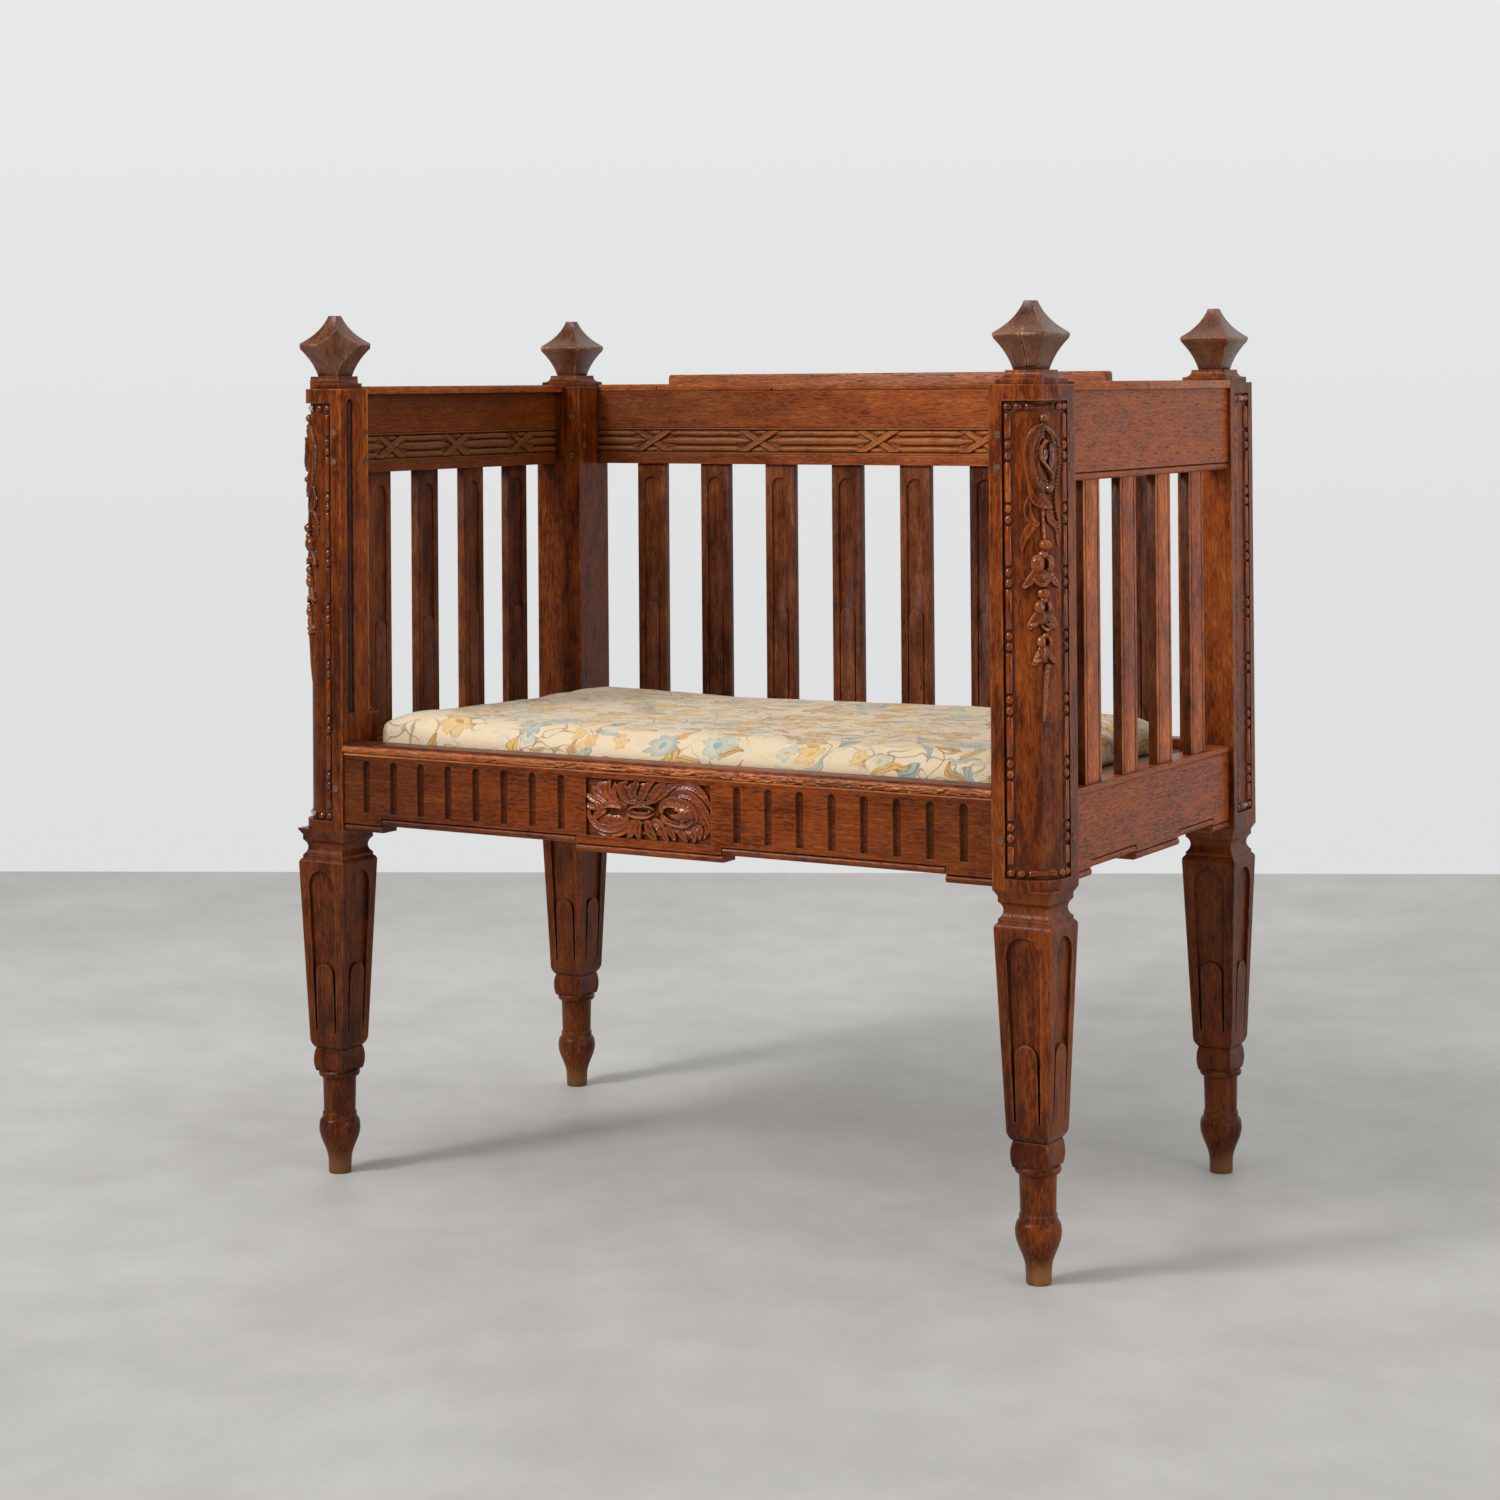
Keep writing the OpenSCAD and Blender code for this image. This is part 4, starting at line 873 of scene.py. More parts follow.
# %% [markdown]
# ## The strings of beads
#
# A thin dark floor under every string hides the plain step of the solid and paints the shade in
# the channels beside the beads. Places are listed once for a right post, and the left posts get
# mirrored copies. The flat masters are removed at the end.

# %% Lay the strings of beads on the four posts
BED_WIDE, BED_SINK, BED_THICK = 11 * MM, 0.25 * MM, 0.6 * MM
beds = []


def model_bed(length):
    """The flat floor that a string of beads stands on, modelled upright."""
    obj = fresh(bpy.ops.mesh.primitive_grid_add, x_subdivisions=2, y_subdivisions=24, size=1)
    bpy.ops.object.mode_set(mode="EDIT")
    bpy.ops.transform.rotate(value=-pi / 2, orient_axis="X", center_override=(0, 0, 0))
    bpy.ops.transform.resize(value=(BED_WIDE, 1, length))
    bpy.ops.transform.translate(value=(0, -BED_SINK, 0))
    bpy.ops.object.mode_set(mode="OBJECT")
    if obj.data.polygons[0].normal.y > 0:
        obj.data.flip_normals()
    return obj


def bed_places(left, right, heights):
    low, high = heights
    tall, across = model_bed(high - low), model_bed(right - left - BED_WIDE)
    beds.extend([tall, across])
    level, centre = (low + high) / 2, (left + right) / 2
    return [(tall, left, level, False), (tall, right, level, False),
            (across, centre, low + STRING, True), (across, centre, high - STRING, True)]


front = (STRING, ROW - STRING, FIELD_Z)
front_row = [(bead, STRING), (bead, STRING + 10.8 * MM), (reels[27], ROW / 2),
             (bead, ROW - STRING - 10.8 * MM), (bead, ROW - STRING)]
back = (BACK_LEFT, BACK_RIGHT, BACK_Z)
back_row = [(bead, BACK_LEFT), (reels[18], (BACK_LEFT + BACK_RIGHT) / 2), (bead, BACK_RIGHT)]
for key in ("fr", "fl", "br", "bl"):
    ends, row, lay = back, back_row, on_back_post
    if key[0] == "f":
        ends, row, lay = front, front_row, on_front_post
    left_post, side = key[1] == "l", SIDES[key]
    string = stamp(frame_of_strings(*ends, row), lay, f"{side}_beads", mirror=left_post)
    finish_piece(string, f"{side}_beads", oak("carving", "z"), [f"{key}_beading"])
    # Painted shade: a dark floor along each string, for the shade in its channels
    bed = stamp(bed_places(*ends), lay, f"{side}_bead_shadow_bed", mirror=left_post)
    modify(bed, "SOLIDIFY", thickness=BED_THICK, offset=-1)
    finish_piece(bed, f"{side}_bead_shadow_bed", oak("rail", "z"))
print("beads and reels on a front post:", len(frame_of_strings(*front, front_row)))
for master in [bead, *reels.values(), *beds]:
    bpy.data.objects.remove(master)

# %% [markdown]
# ## Relief carving
#
# Leaves, ribbons and bells grow out of one another, and a carver cuts them all from one block.
# A height map does the same: each form is a rounded hill or a leaf along a curved spine, and
# the highest form wins at every point of a fine grid. Where nothing rises above the ground
# the grid is cut away, and what is left is given a back.

# %% Helpers for the forms of a carving
BELOW = -2.0            # a form's height in millimetres where it doesn't reach


def spine(points, count=36):
    """A smooth curve through the points, with its widths and heights carried along."""
    p = np.array(points, float)
    p = np.vstack([2 * p[0] - p[1], p, 2 * p[-1] - p[-2]])
    out = []
    for t in np.linspace(0, len(p) - 3 - 1e-6, count):
        i = int(t)
        f = t - i
        a, b, c, d = p[i:i + 4]
        out.append(0.5 * (2 * b + (c - a) * f + (2 * a - 5 * b + 4 * c - d) * f ** 2
                          + (3 * b - a - 3 * c + d) * f ** 3))
    return np.array(out)


def leaf(u, v, points, hollow=0.3, rib=0.0):
    """A leaf or ribbon: each point is (u, v, half width, height)."""
    s = spine(points)
    d = np.hypot(u[..., None] - s[:, 0], v[..., None] - s[:, 1]) / np.maximum(s[:, 2], 0.2)
    near = d.argmin(-1)
    share = d.min(-1)
    body = 1 - hollow * (1 - np.minimum(share, 1) ** 2)
    edge = np.sqrt(np.clip((1 - share) / 0.3, 0, 1))
    veins = np.exp(-(share / 0.16) ** 2) + 0.5 * np.exp(-((share - 0.56) / 0.12) ** 2)
    return np.where(share < 1, (s[near, 3] - rib * veins) * body * edge, BELOW)


def dome(u, v, at, size, peak, turn=0.0):
    """A rounded hill of two half widths, turned by an angle."""
    x, y = u - at[0], v - at[1]
    a = (x * cos(turn) + y * sin(turn)) / size[0]
    b = (y * cos(turn) - x * sin(turn)) / size[1]
    inside = 1 - a * a - b * b
    return np.where(inside > 0, peak * np.sqrt(np.maximum(inside, 0)), BELOW)


def bore(best, hole, floor):
    """Sinks a hole into the carving, and no deeper than the floor."""
    return np.where(hole > 0, np.maximum(best - hole, floor), best)


def tool_marks(u, v, depth, pace, bend, sway, rows, lean):
    """The small waves that a gouge leaves."""
    return depth * np.sin(u * pace + bend * np.sin(v * sway)) * np.sin(v * rows + u * lean)


print("a dome of 5 mm stands", dome(np.zeros(1), np.zeros(1), (0, 0), (3, 3), 5.0)[0], "mm high")

# %% [markdown]
# ## From heights to a carved piece
#
# The grid is shaped flat, at its real size, and then laid on its place by a function of its
# points. Comparing each height with the mean around it tells the hollows from the ridges. The
# hollows are painted darker, for dirt and for the shade that falls in them, and the ridges paler
# where hands rub. That is kept on the points for the material.

# %% Helpers for making a carving
FINE_REACH, BROAD_REACH = 1.3, 3.6          # how far around a point its height is compared, mm


def blurred(grid, reach):
    """The mean over a square that reaches so many cells each way."""
    for axis in (0, 1):
        wide = np.pad(grid, [(reach + 1, reach) if a == axis else (0, 0) for a in (0, 1)], "edge")
        total = np.cumsum(wide, axis)
        ahead = np.delete(total, range(2 * reach + 1), axis)
        behind = np.delete(total, range(-2 * reach - 1, 0), axis)
        grid = (ahead - behind) / (2 * reach + 1)
    return grid


def carve(name, width, low, high, step, heights, ground=-0.7, relief_shade_and_dirt=1.0):
    """Turns a height function in millimetres into a flat relief facing -Y, at its real size."""
    nu, nv = int(width / step) + 1, int((high - low) / step) + 1
    grid = {"x_subdivisions": nu - 1, "y_subdivisions": nv - 1, "size": 1}
    obj = fresh(bpy.ops.mesh.primitive_grid_add, **grid)
    obj.name = name
    co = points_of(obj)
    u, v = co[:, 0] * width, (co[:, 1] + 0.5) * (high - low) + low
    h = np.maximum(heights(u, v), ground)
    move_points(obj, np.column_stack([u * MM, -h * MM, v * MM]))
    open_work = ground > -1
    sheet = np.maximum(h, -0.2 if open_work else ground).reshape(nv, nu)
    # Hollows: dirt and painted shade. Ridges: rubbed wear.
    hollow = 0.6 * (blurred(sheet, max(round(FINE_REACH / step), 1)) - sheet)
    hollow += 0.35 * (blurred(sheet, round(BROAD_REACH / step)) - sheet)
    keep_number(obj, "hollow", np.clip(hollow * relief_shade_and_dirt, -1, 1).ravel())
    if open_work:
        lowest = (ground + 0.01) * MM
        bm = bmesh.new()
        bm.from_mesh(obj.data)
        flat = [f for f in bm.faces if all(-vert.co.y < lowest for vert in f.verts)]
        bmesh.ops.delete(bm, geom=flat, context="FACES")
        bm.to_mesh(obj.data)
        bm.free()
    return obj


def relay(obj, lay, mirror=False, thick=1.0):
    """Lays a flat relief on its place, mirrored if asked, and gives it a back."""
    co = lay(points_of(obj))
    if mirror:
        co = co * (-1, 1, 1)
        obj.data.flip_normals()
    move_points(obj, co)
    modify(obj, "SOLIDIFY", thickness=thick * MM, offset=-1)
    return obj


ramp = blurred(np.arange(9.0).reshape(1, 9), 1)
print("a blurred ramp stays a ramp:", ramp[0, 3:6])

# %% [markdown]
# ## The hanging drop on each front corner
#
# From a knob hangs a looped ribbon with a curling leaf inside it. Its two tails spread below,
# and a ball and three bell flowers follow, each smaller than the last, down to a thin stem.
# All measures are in millimetres: u across the drop from its middle line, v above the floor.

# %% List the forms of the drop
# Each leaf is its points (u, v, half width, height), its hollow and its ribs
# Each dome is its middle, its half widths, its height and its turn
KNOBS = [
    ((2.2, 845), (4.6, 5.2), 5.6), ((2.2, 722), (6.4, 6.5), 8.2), ((2.8, 822.3), (2.7, 3), 7.4),
    ((6.3, 776.4), (4, 4.8), 7.8), ((0.6, 675), (6.5, 6.2), 6.4),
    ((-9.3, 645), (5, 3.2), 7.2, 0.3), ((7.2, 643.6), (5.4, 3.8), 5.8, -0.2),
    ((-6, 610), (4.6, 3.2), 7.2, 0.4), ((3.6, 604), (3.4, 3.6), 5),
]
LOOP = [
    # The broad ribbon on the left ends in a lobe
    ([(0.2, 838, 2.5, 4.4), (-6.8, 833, 4, 5.2), (-12, 821, 4.8, 5.6), (-13.3, 807, 5, 5.6),
      (-11.5, 793, 5.2, 5.6), (-8.5, 780.5, 5.6, 6), (-3, 769.4, 6, 6.6),
      (4, 760.3, 3.5, 6.8)], 0.35, 1.0),
    ([(-10.5, 778, 4, 5), (-5, 766, 6.6, 6.6), (3, 760.6, 4.4, 7),
      (8, 759.4, 1.4, 6.2)], 0.25, 0.8),
    # A thin ridge and a low leaf on the right
    ([(2.2, 837, 1.6, 4.6), (10.8, 830.7, 1.7, 4.8), (17, 818, 1.7, 4.6), (17.9, 801, 1.6, 4.4),
      (14.6, 784.7, 1.7, 4.4), (12.8, 765, 1.7, 4), (17, 744, 1.8, 3.6),
      (19.5, 730, 1.4, 2.4)], 0.0),
    ([(8, 829, 4, 3.6), (12.4, 817, 5, 3.2), (12.6, 800, 5.4, 3.2), (10.6, 785, 4.8, 3.8),
      (7, 775, 4, 4.6)], 0.45, 0.5),
    # The curling leaf inside
    ([(-3, 833, 2, 4.6), (4, 835, 3, 6), (9, 829.5, 3, 6.2), (11.5, 821, 1.8, 5)], 0.3),
    ([(-1.8, 830.7, 3, 4.4), (-6.6, 818, 4.4, 5.6), (-7.4, 803, 5.4, 5.4),
      (-3.7, 787.5, 5.8, 5.6), (3.6, 776.3, 4, 6)], 0.42, 0.5),
    ([(0.7, 821, 1.8, 6.6), (-2, 814, 1.9, 7.2), (-1.5, 805.6, 1.9, 7.4), (2.8, 798.6, 1.9, 7.4),
      (7.5, 791.7, 1.8, 7.2), (8.6, 786, 1.2, 6)], 0.0),
    ([(9, 818, 3, 4.6), (9, 806, 3.4, 4.8), (6.6, 794, 3, 5)], 0.3),
    # The two tails spread below
    ([(-12, 767, 3, 3.8), (-14.2, 757, 4.2, 4.8), (-11.2, 747, 4.6, 5),
      (-5.6, 742.4, 3.2, 4.4)], 0.42, 0.6),
    ([(-9, 742, 4, 3.8), (-14.2, 734.5, 4.8, 3.8), (-18.2, 726.5, 3.4, 3.2),
      (-20, 715, 1, 1.8)], 0.45, 0.5),
    ([(5.6, 754, 3.6, 4.6), (7.8, 746, 4.2, 5.2), (13.3, 741.4, 3.4, 5),
      (16.8, 739, 1.6, 4.2)], 0.4, 0.5),
    ([(11.5, 742, 3.8, 3.6), (17.4, 735, 3.8, 3.4), (17.4, 727.6, 3, 3),
      (18.4, 720, 1, 2)], 0.45, 0.5),
    ([(0.2, 758, 2.2, 3.6), (0.2, 743, 1.8, 3.4), (0.9, 729, 1.9, 3.8)], 0.0),
]
FLOWERS = [
    # Turned-out petals of the first, second and third flower
    ([(-7, 695, 4.6, 4.6), (-12, 687.6, 4.6, 5.2), (-17, 681.8, 2.4, 6.8)], 0.35, 0.4),
    ([(-8, 688.4, 1.6, 5.4), (-5, 684.8, 2.2, 6.6), (-0.6, 683.6, 2.5, 7),
      (5, 687.6, 1.8, 6)], 0.15),
    ([(7, 694, 4, 4.4), (11, 687, 4, 5.2), (15.6, 682, 2.2, 6.6)], 0.35, 0.4),
    ([(-3.6, 656, 4.4, 4.6), (-8.4, 648.6, 5, 5.4), (-12.8, 642.4, 3.2, 6.4)], 0.35, 0.4),
    ([(4.6, 656, 3.6, 4.2), (9, 648, 4.2, 5.2), (12, 642, 2.6, 5.8)], 0.35, 0.4),
    ([(-1.6, 643.4, 1.6, 5), (2.2, 639.8, 2, 5.6), (5.4, 641, 1.4, 5)], 0.0),
    ([(-2.6, 619, 4, 4.8), (-6, 611.6, 4.2, 6), (-9.8, 606.6, 2, 6.4)], 0.3, 0.4),
    ([(4.6, 617, 3.2, 4.6), (8.4, 611, 3.2, 5.4), (11.8, 607.4, 1.6, 5.4)], 0.3, 0.4),
    ([(2.8, 603, 2.6, 3.6), (2.2, 588, 2.6, 2.8), (1.5, 570, 2.4, 2), (1, 552, 1.4, 0.5)], 0.0),
]
FLOWER_BODIES = [
    ((-1.6, 691), (11.4, 9), 4.6), ((-0.5, 651.6), (8.8, 8.4), 4.2),
    ((-0.4, 617.6), (5.8, 11), 5.2),
]
CUPS = [  # middle, left and right half widths, length of the slit, height
    ((0.2, 704), 7.2, 5.4, 5.4, 8), ((0.6, 661.6), 5.6, 4.2, 4.4, 7),
    ((1.4, 628.4), 4.9, 3.6, 3.6, 6.8),
]
DROP_HOLES = [((4, 809.5), (3, 6.6)), ((4.4, 784), (4.2, 1.3))]
print("leaves and domes of the drop:", len(LOOP + FLOWERS), len(KNOBS + FLOWER_BODIES))

# %% [markdown]
# ## Carving the drops
#
# The forms are laid over each other on one grid. Two holes are bored through the curls of the
# ribbon, and faint gouge marks cover the rest. The left drop is the right one mirrored.

# %% Carve the drops
def cup(u, v, at, left, right, slit, rise):
    """The two-lobed cup of a bell flower."""
    lobes = [dome(u, v, (at[0] - left * 0.72, at[1]), (left, left * 1.36), rise),
             dome(u, v, (at[0] + right, at[1] + 0.4), (right, left * 1.28), rise * 0.94),
             dome(u, v, (at[0], at[1] + left * 1.2), (left * 0.7, left * 0.7), rise * 0.84)]
    gap = dome(u, v, (at[0] + right * 0.3, at[1] - 1), (1.1 + left * 0.09, slit), rise)
    return bore(np.maximum.reduce(lobes), gap, 0.8)


def drop_heights(u, v):
    forms = [leaf(u, v, *row) for row in LOOP + FLOWERS] + [cup(u, v, *row) for row in CUPS]
    forms += [dome(u, v, *row) for row in KNOBS + FLOWER_BODIES]
    best = np.maximum.reduce(forms)
    for at, size in DROP_HOLES:
        best = bore(best, dome(u, v, at, size, 5.0), 0.9)
    return np.where(best > 0.3, best + tool_marks(u, v, 0.14, 1.9, 0.7, 0.6, 1.1, 0.4), best)


for key in ("fr", "fl"):
    drop = carve(f"{key}_carving", 46, 549, 853, 0.68, drop_heights)
    relay(drop, on_corner, mirror=key == "fl")
    name = f"{SIDES[key]}_hanging_drop"
    finish_piece(drop, name, oak("carving", "z"), [f"{key}_drop"])
print("drop:", len(drop.data.polygons), "faces")

# %% [markdown]
# ## The leafy panel on the apron
#
# The sunk panel in the middle of the apron holds a rolled cartouche between two scrolls. Each
# scroll curls round a deep hole, with leaves swept over and under it.

# %% List the forms of the panel
PANEL_LEAVES = [
    # The garland and its chiselled lobes
    ([(-37.2, 24.3, 1.8, 6), (-33.3, 17.1, 2.6, 6.4), (-26.4, 10.1, 2.8, 6.6),
      (-15.5, 7.4, 2.8, 6.6), (-3.1, 7.5, 2.8, 6.6), (9.3, 11.1, 2.8, 6.6), (18.6, 16.4, 2.6, 6.4),
      (25.6, 22.3, 1.8, 6)], 0.2, 0),
    ([(-32.5, 15.8, 3.6, 6), (-35.3, 21.7, 3.6, 7), (-32.5, 27.3, 1.6, 6.4)], 0.25, 0.6),
    ([(-21.7, 11.7, 5, 5.6), (-26, 18.9, 5.2, 6.2), (-29.4, 24.8, 4, 6.6),
      (-24.8, 29.2, 1.8, 6.2)], 0.3, 0.9),
    ([(-15.5, 11.5, 5, 6.4), (-17.1, 18.1, 6, 9), (-13.9, 25.1, 5, 8.4),
      (-10.8, 30.1, 1.8, 6.4)], 0.3, 0.9),
    ([(-7.8, 11.3, 5, 6.4), (-3.1, 19.1, 6, 9.2), (0.8, 24.7, 5.4, 8.4),
      (7, 29.9, 2, 6.4)], 0.3, 0.9),
    ([(3.1, 12.7, 5, 6.4), (9.3, 17.8, 6, 9.2), (15.5, 24.3, 5.6, 8.6),
      (23.2, 31.4, 2, 6.4)], 0.3, 0.9),
    ([(13.9, 14.7, 4, 5.6), (21.7, 20.7, 5, 8.2), (29.4, 26.6, 4.6, 7.6),
      (40.3, 31.4, 1.8, 6)], 0.3, 0.9),
    # Right scroll, its cheek and the fronds swept over it
    ([(24.8, 16.8, 3, 6), (34.1, 25.6, 4.6, 7.4), (48, 29.2, 5.4, 7.2), (60.5, 25.9, 5, 6.6),
      (69.8, 17.7, 4, 5.6), (76, 8, 1.6, 4.4)], 0.4, 0.9),
    ([(29.4, 14.4, 3, 6), (40.3, 19.9, 5, 7.2), (52.7, 18.6, 5.4, 6.8), (63.5, 11.2, 5, 6),
      (71.3, 2.2, 4, 5.2), (76, -5.6, 1.6, 4)], 0.4, 0.9),
    ([(52.7, 11.9, 4, 5.4), (62, 4.3, 5, 5.4), (69, -4.7, 5, 5), (72.8, -13.9, 4.4, 4.6),
      (69, -22.3, 1.8, 3.8)], 0.4, 0.7),
    ([(17.1, 1.4, 3.4, 5.6), (19.4, 8.3, 4.2, 6.6), (27.9, 12.3, 5, 7), (38.8, 11.6, 5.4, 7),
      (49.6, 8.3, 5.4, 6.6), (56.6, 1.3, 5, 6.2), (56.6, -6.9, 4.6, 6), (48, -13.1, 4, 5.8),
      (37.2, -12.9, 3.6, 5.4), (24.8, -9.6, 3.2, 5), (17.8, -4.7, 2.6, 4.6)], 0.35, 0.6),
    ([(21.7, 5.5, 2.2, 7), (29.4, 7.9, 3, 7.8), (38.8, 6.6, 3.2, 7.4),
      (48, 3.4, 2, 6.4)], 0.2, 0),
    ([(23.2, -11.1, 1.6, 6.2), (35.6, -13.4, 2, 6.8), (48, -13.1, 2, 6.8),
      (56.6, -8.2, 1.4, 6.2)], 0, 0),
    ([(31, -12.6, 4.5, 5), (40.3, -18.8, 5.6, 5.6), (46.5, -29.2, 2.2, 4)], 0.35, 0.8),
    ([(45, -15.8, 4.5, 5), (54.2, -19.2, 5.4, 5.4), (56.6, -27.2, 2.2, 4)], 0.35, 0.8),
    ([(55.8, -12.3, 4, 5), (63.5, -15.9, 4.6, 5), (62.8, -24.1, 2, 3.8)], 0.35, 0.8),
    # Left scroll, its bowl and the fronds swept back
    ([(-24.8, -6.8, 3, 5), (-29.4, -15.2, 4.4, 5.8), (-38.8, -20.6, 5, 6), (-51.1, -22.1, 5.2, 6),
      (-63.5, -18.8, 4.6, 5.6), (-72.1, -11.9, 3.6, 4.8), (-74.4, -4.6, 2, 4)], 0.35, 0.8),
    ([(-65.1, -10.1, 4, 4.8), (-58.9, -5.6, 4.6, 5.6), (-52.7, -3.2, 2.6, 5)], 0.3, 0.5),
    ([(-63.5, -1.2, 3, 5.6), (-54.2, 2.4, 4, 6.8), (-43.4, 4.2, 4.4, 7.8),
      (-33.3, 1.9, 2.4, 6.6)], 0.25, 0.6),
    ([(-37.2, 6, 4, 6), (-45, 12.2, 6.2, 7.2), (-48.8, 20.1, 5.8, 7.8),
      (-46.5, 28.1, 2, 6.6)], 0.3, 1),
    ([(-45, 5.5, 4, 5.8), (-55.8, 10.2, 5.6, 6.4), (-62.8, 15.1, 5, 6),
      (-67.4, 20.9, 2, 4.8)], 0.3, 1),
    ([(-52.7, 3.6, 3.6, 5.4), (-63.5, 6.3, 4.6, 5.6), (-71.3, 9.2, 4, 5),
      (-76, 12.2, 1.8, 4)], 0.3, 0.8),
    ([(-63.5, -0.1, 3, 5), (-71.3, -0.3, 3.6, 4.6), (-76.7, 2, 2, 3.6)], 0.3, 0.6),
    ([(-38.4, 8.6, 2.6, 6), (-40.6, 17.9, 3.2, 6.8), (-39.5, 26.2, 1.6, 6.2)], 0.2, 0.5),
    # Leaves that fan out below the middle
    ([(-18.6, -13.2, 4, 5.4), (-26.4, -20.4, 5, 5.8), (-38.8, -26, 4.6, 5.2),
      (-51.1, -28.6, 3.4, 4.6), (-62, -27.1, 1.6, 3.8)], 0.4, 0.8),
    ([(-15.5, -13.6, 5, 5.6), (-19.4, -21.3, 5.4, 6.2), (-24, -30.5, 2.2, 4.6)], 0.35, 0.9),
    ([(-10.8, -14, 4.6, 5.8), (-12.4, -22.2, 5, 6.4), (-10.8, -29.6, 2, 4.8)], 0.35, 0.9),
    ([(0, -13.3, 5, 5.8), (3.1, -21.2, 6, 6.6), (9.3, -30.6, 2.4, 4.8)], 0.35, 0.9),
    ([(9.3, -11.3, 5, 5.8), (17.1, -17.6, 6.4, 6.8), (23.2, -28.7, 2.6, 4.8)], 0.35, 0.9),
    ([(17.1, -11.5, 4.4, 5.4), (26.4, -17, 5.6, 6.2), (32.5, -26.7, 2.4, 4.6)], 0.35, 0.9),
    # Lips of the cartouche
    ([(-22.5, 0.4, 1.2, 5.8), (-17.1, 2.9, 1.6, 6.6), (-7.8, 4.2, 1.7, 6.8), (1.6, 4.2, 1.6, 6.6),
      (8.1, 1.9, 1.2, 5.8)], 0, 0),
    ([(-24, -4.3, 1.2, 5.6), (-18.6, -6.8, 1.7, 6.4), (-9.3, -7.9, 1.9, 6.6), (0, -6.8, 1.7, 6.4),
      (7.8, -3, 1.2, 5.6)], 0, 0),
]
SWELLINGS = [
    ((-7, -2.2), (20, 9.4), 3.4), ((42, -1), (17, 9.6), 7.4), ((-46, -13), (18, 8), 3.6),
    ((4, -17), (36, 10), 3.4), ((-40, 8), (16, 12), 3.6), ((25, 13), (16, 10), 4.2),
    ((-4, 19), (36, 11), 4.2), ((-54, 14), (19, 14), 3.2), ((52, 4), (22, 21), 3.6),
    ((54, -16), (16, 12), 3.0),
]
EYE, EYE_SIZE = (3.1, -0.6), 2.7
PANEL_HOLES = [  # middle, half widths, depth
    ((-8.5, -0.2), (9.8, 1.9), 6), ((27.1, 1.1), (7.8, 2.9), 7), ((34, 0.6), (5, 1.8), 5),
    ((-42.5, -4.2), (9.4, 3.3), 7), ((-5.7, -18.4), (2.2, 4.4), 6),
]
print("leaves and swellings of the panel:", len(PANEL_LEAVES), len(SWELLINGS))

# %% [markdown]
# ## Carving the panel
#
# The holes are bored round the eye of the cartouche, which stays whole. The panel stands on
# the sunk floor of the apron, which the solid shows.

# %% Carve the apron panel
PANEL_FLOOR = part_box("apron_rosette")[1].y
PANEL_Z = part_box("front_apron")[0].z + 48 * MM


def panel_heights(u, v):
    forms = [leaf(u, v, *row) for row in PANEL_LEAVES] + [dome(u, v, *row) for row in SWELLINGS]
    best = np.maximum.reduce(forms + [dome(u, v, EYE, (EYE_SIZE, EYE_SIZE), 7.6)])
    off_eye = np.hypot(u - EYE[0], v - EYE[1]) > EYE_SIZE
    for at, size, depth in PANEL_HOLES:
        best = bore(best, np.where(off_eye, dome(u, v, at, size, depth), BELOW), -0.3)
    return np.where(best > 0.3, best + tool_marks(u, v, 0.2, 1.7, 0.9, 0.8, 1.3, 0.5), best)


panel = carve("panel_carving", 153.4, -30.2, 30.2, 0.52, panel_heights)
relay(panel, lambda flat: flat + (0, PANEL_FLOOR, PANEL_Z))
finish_piece(panel, "apron_leaf_carving", oak("carving", "x"), ["apron_rosette"])
print("apron panel:", len(panel.data.polygons), "faces")

# %% [markdown]
# ## Crossed ribbons on the top rails
#
# Three reeds run along each top rail, and ribbons bind them in crosses. The carver spaced the
# crosses by eye, so their distances are uneven. Near a cross the reeds end in points, and the
# ribbon that leans to the right lies over the other.

# %% Carve the ribbon bands
BACK_CROSSES = (-318, -165.5, -1, 137, 288)
SIDE_CROSSES = (-129, -2, 133)
REEDS = ((0.3, 4.7, 12, 26), (9.5, 3.5, 23, 12), (-9.5, 3.5, 23, 12))  # middle, half, gap, point
SUNK = -3.1             # the band's floor
NOWHERE = -9
BEAD_AT, BEAD_HALF = 15, 1.3        # the fine bead along each edge


def ribbon(u, v, at, lean, half, top):
    """A flat strip with raised edges that crosses the band at a slant."""
    aside = ((u - at) - lean * v) / np.hypot(1, lean)
    share = np.abs(aside) / half
    body = top - 0.6 * (1 - share ** 2) - 1.8 * np.clip((share - 0.84) / 0.16, 0, 1)
    return np.where((share < 1) & (np.abs(v) < 12.8), body, NOWHERE)


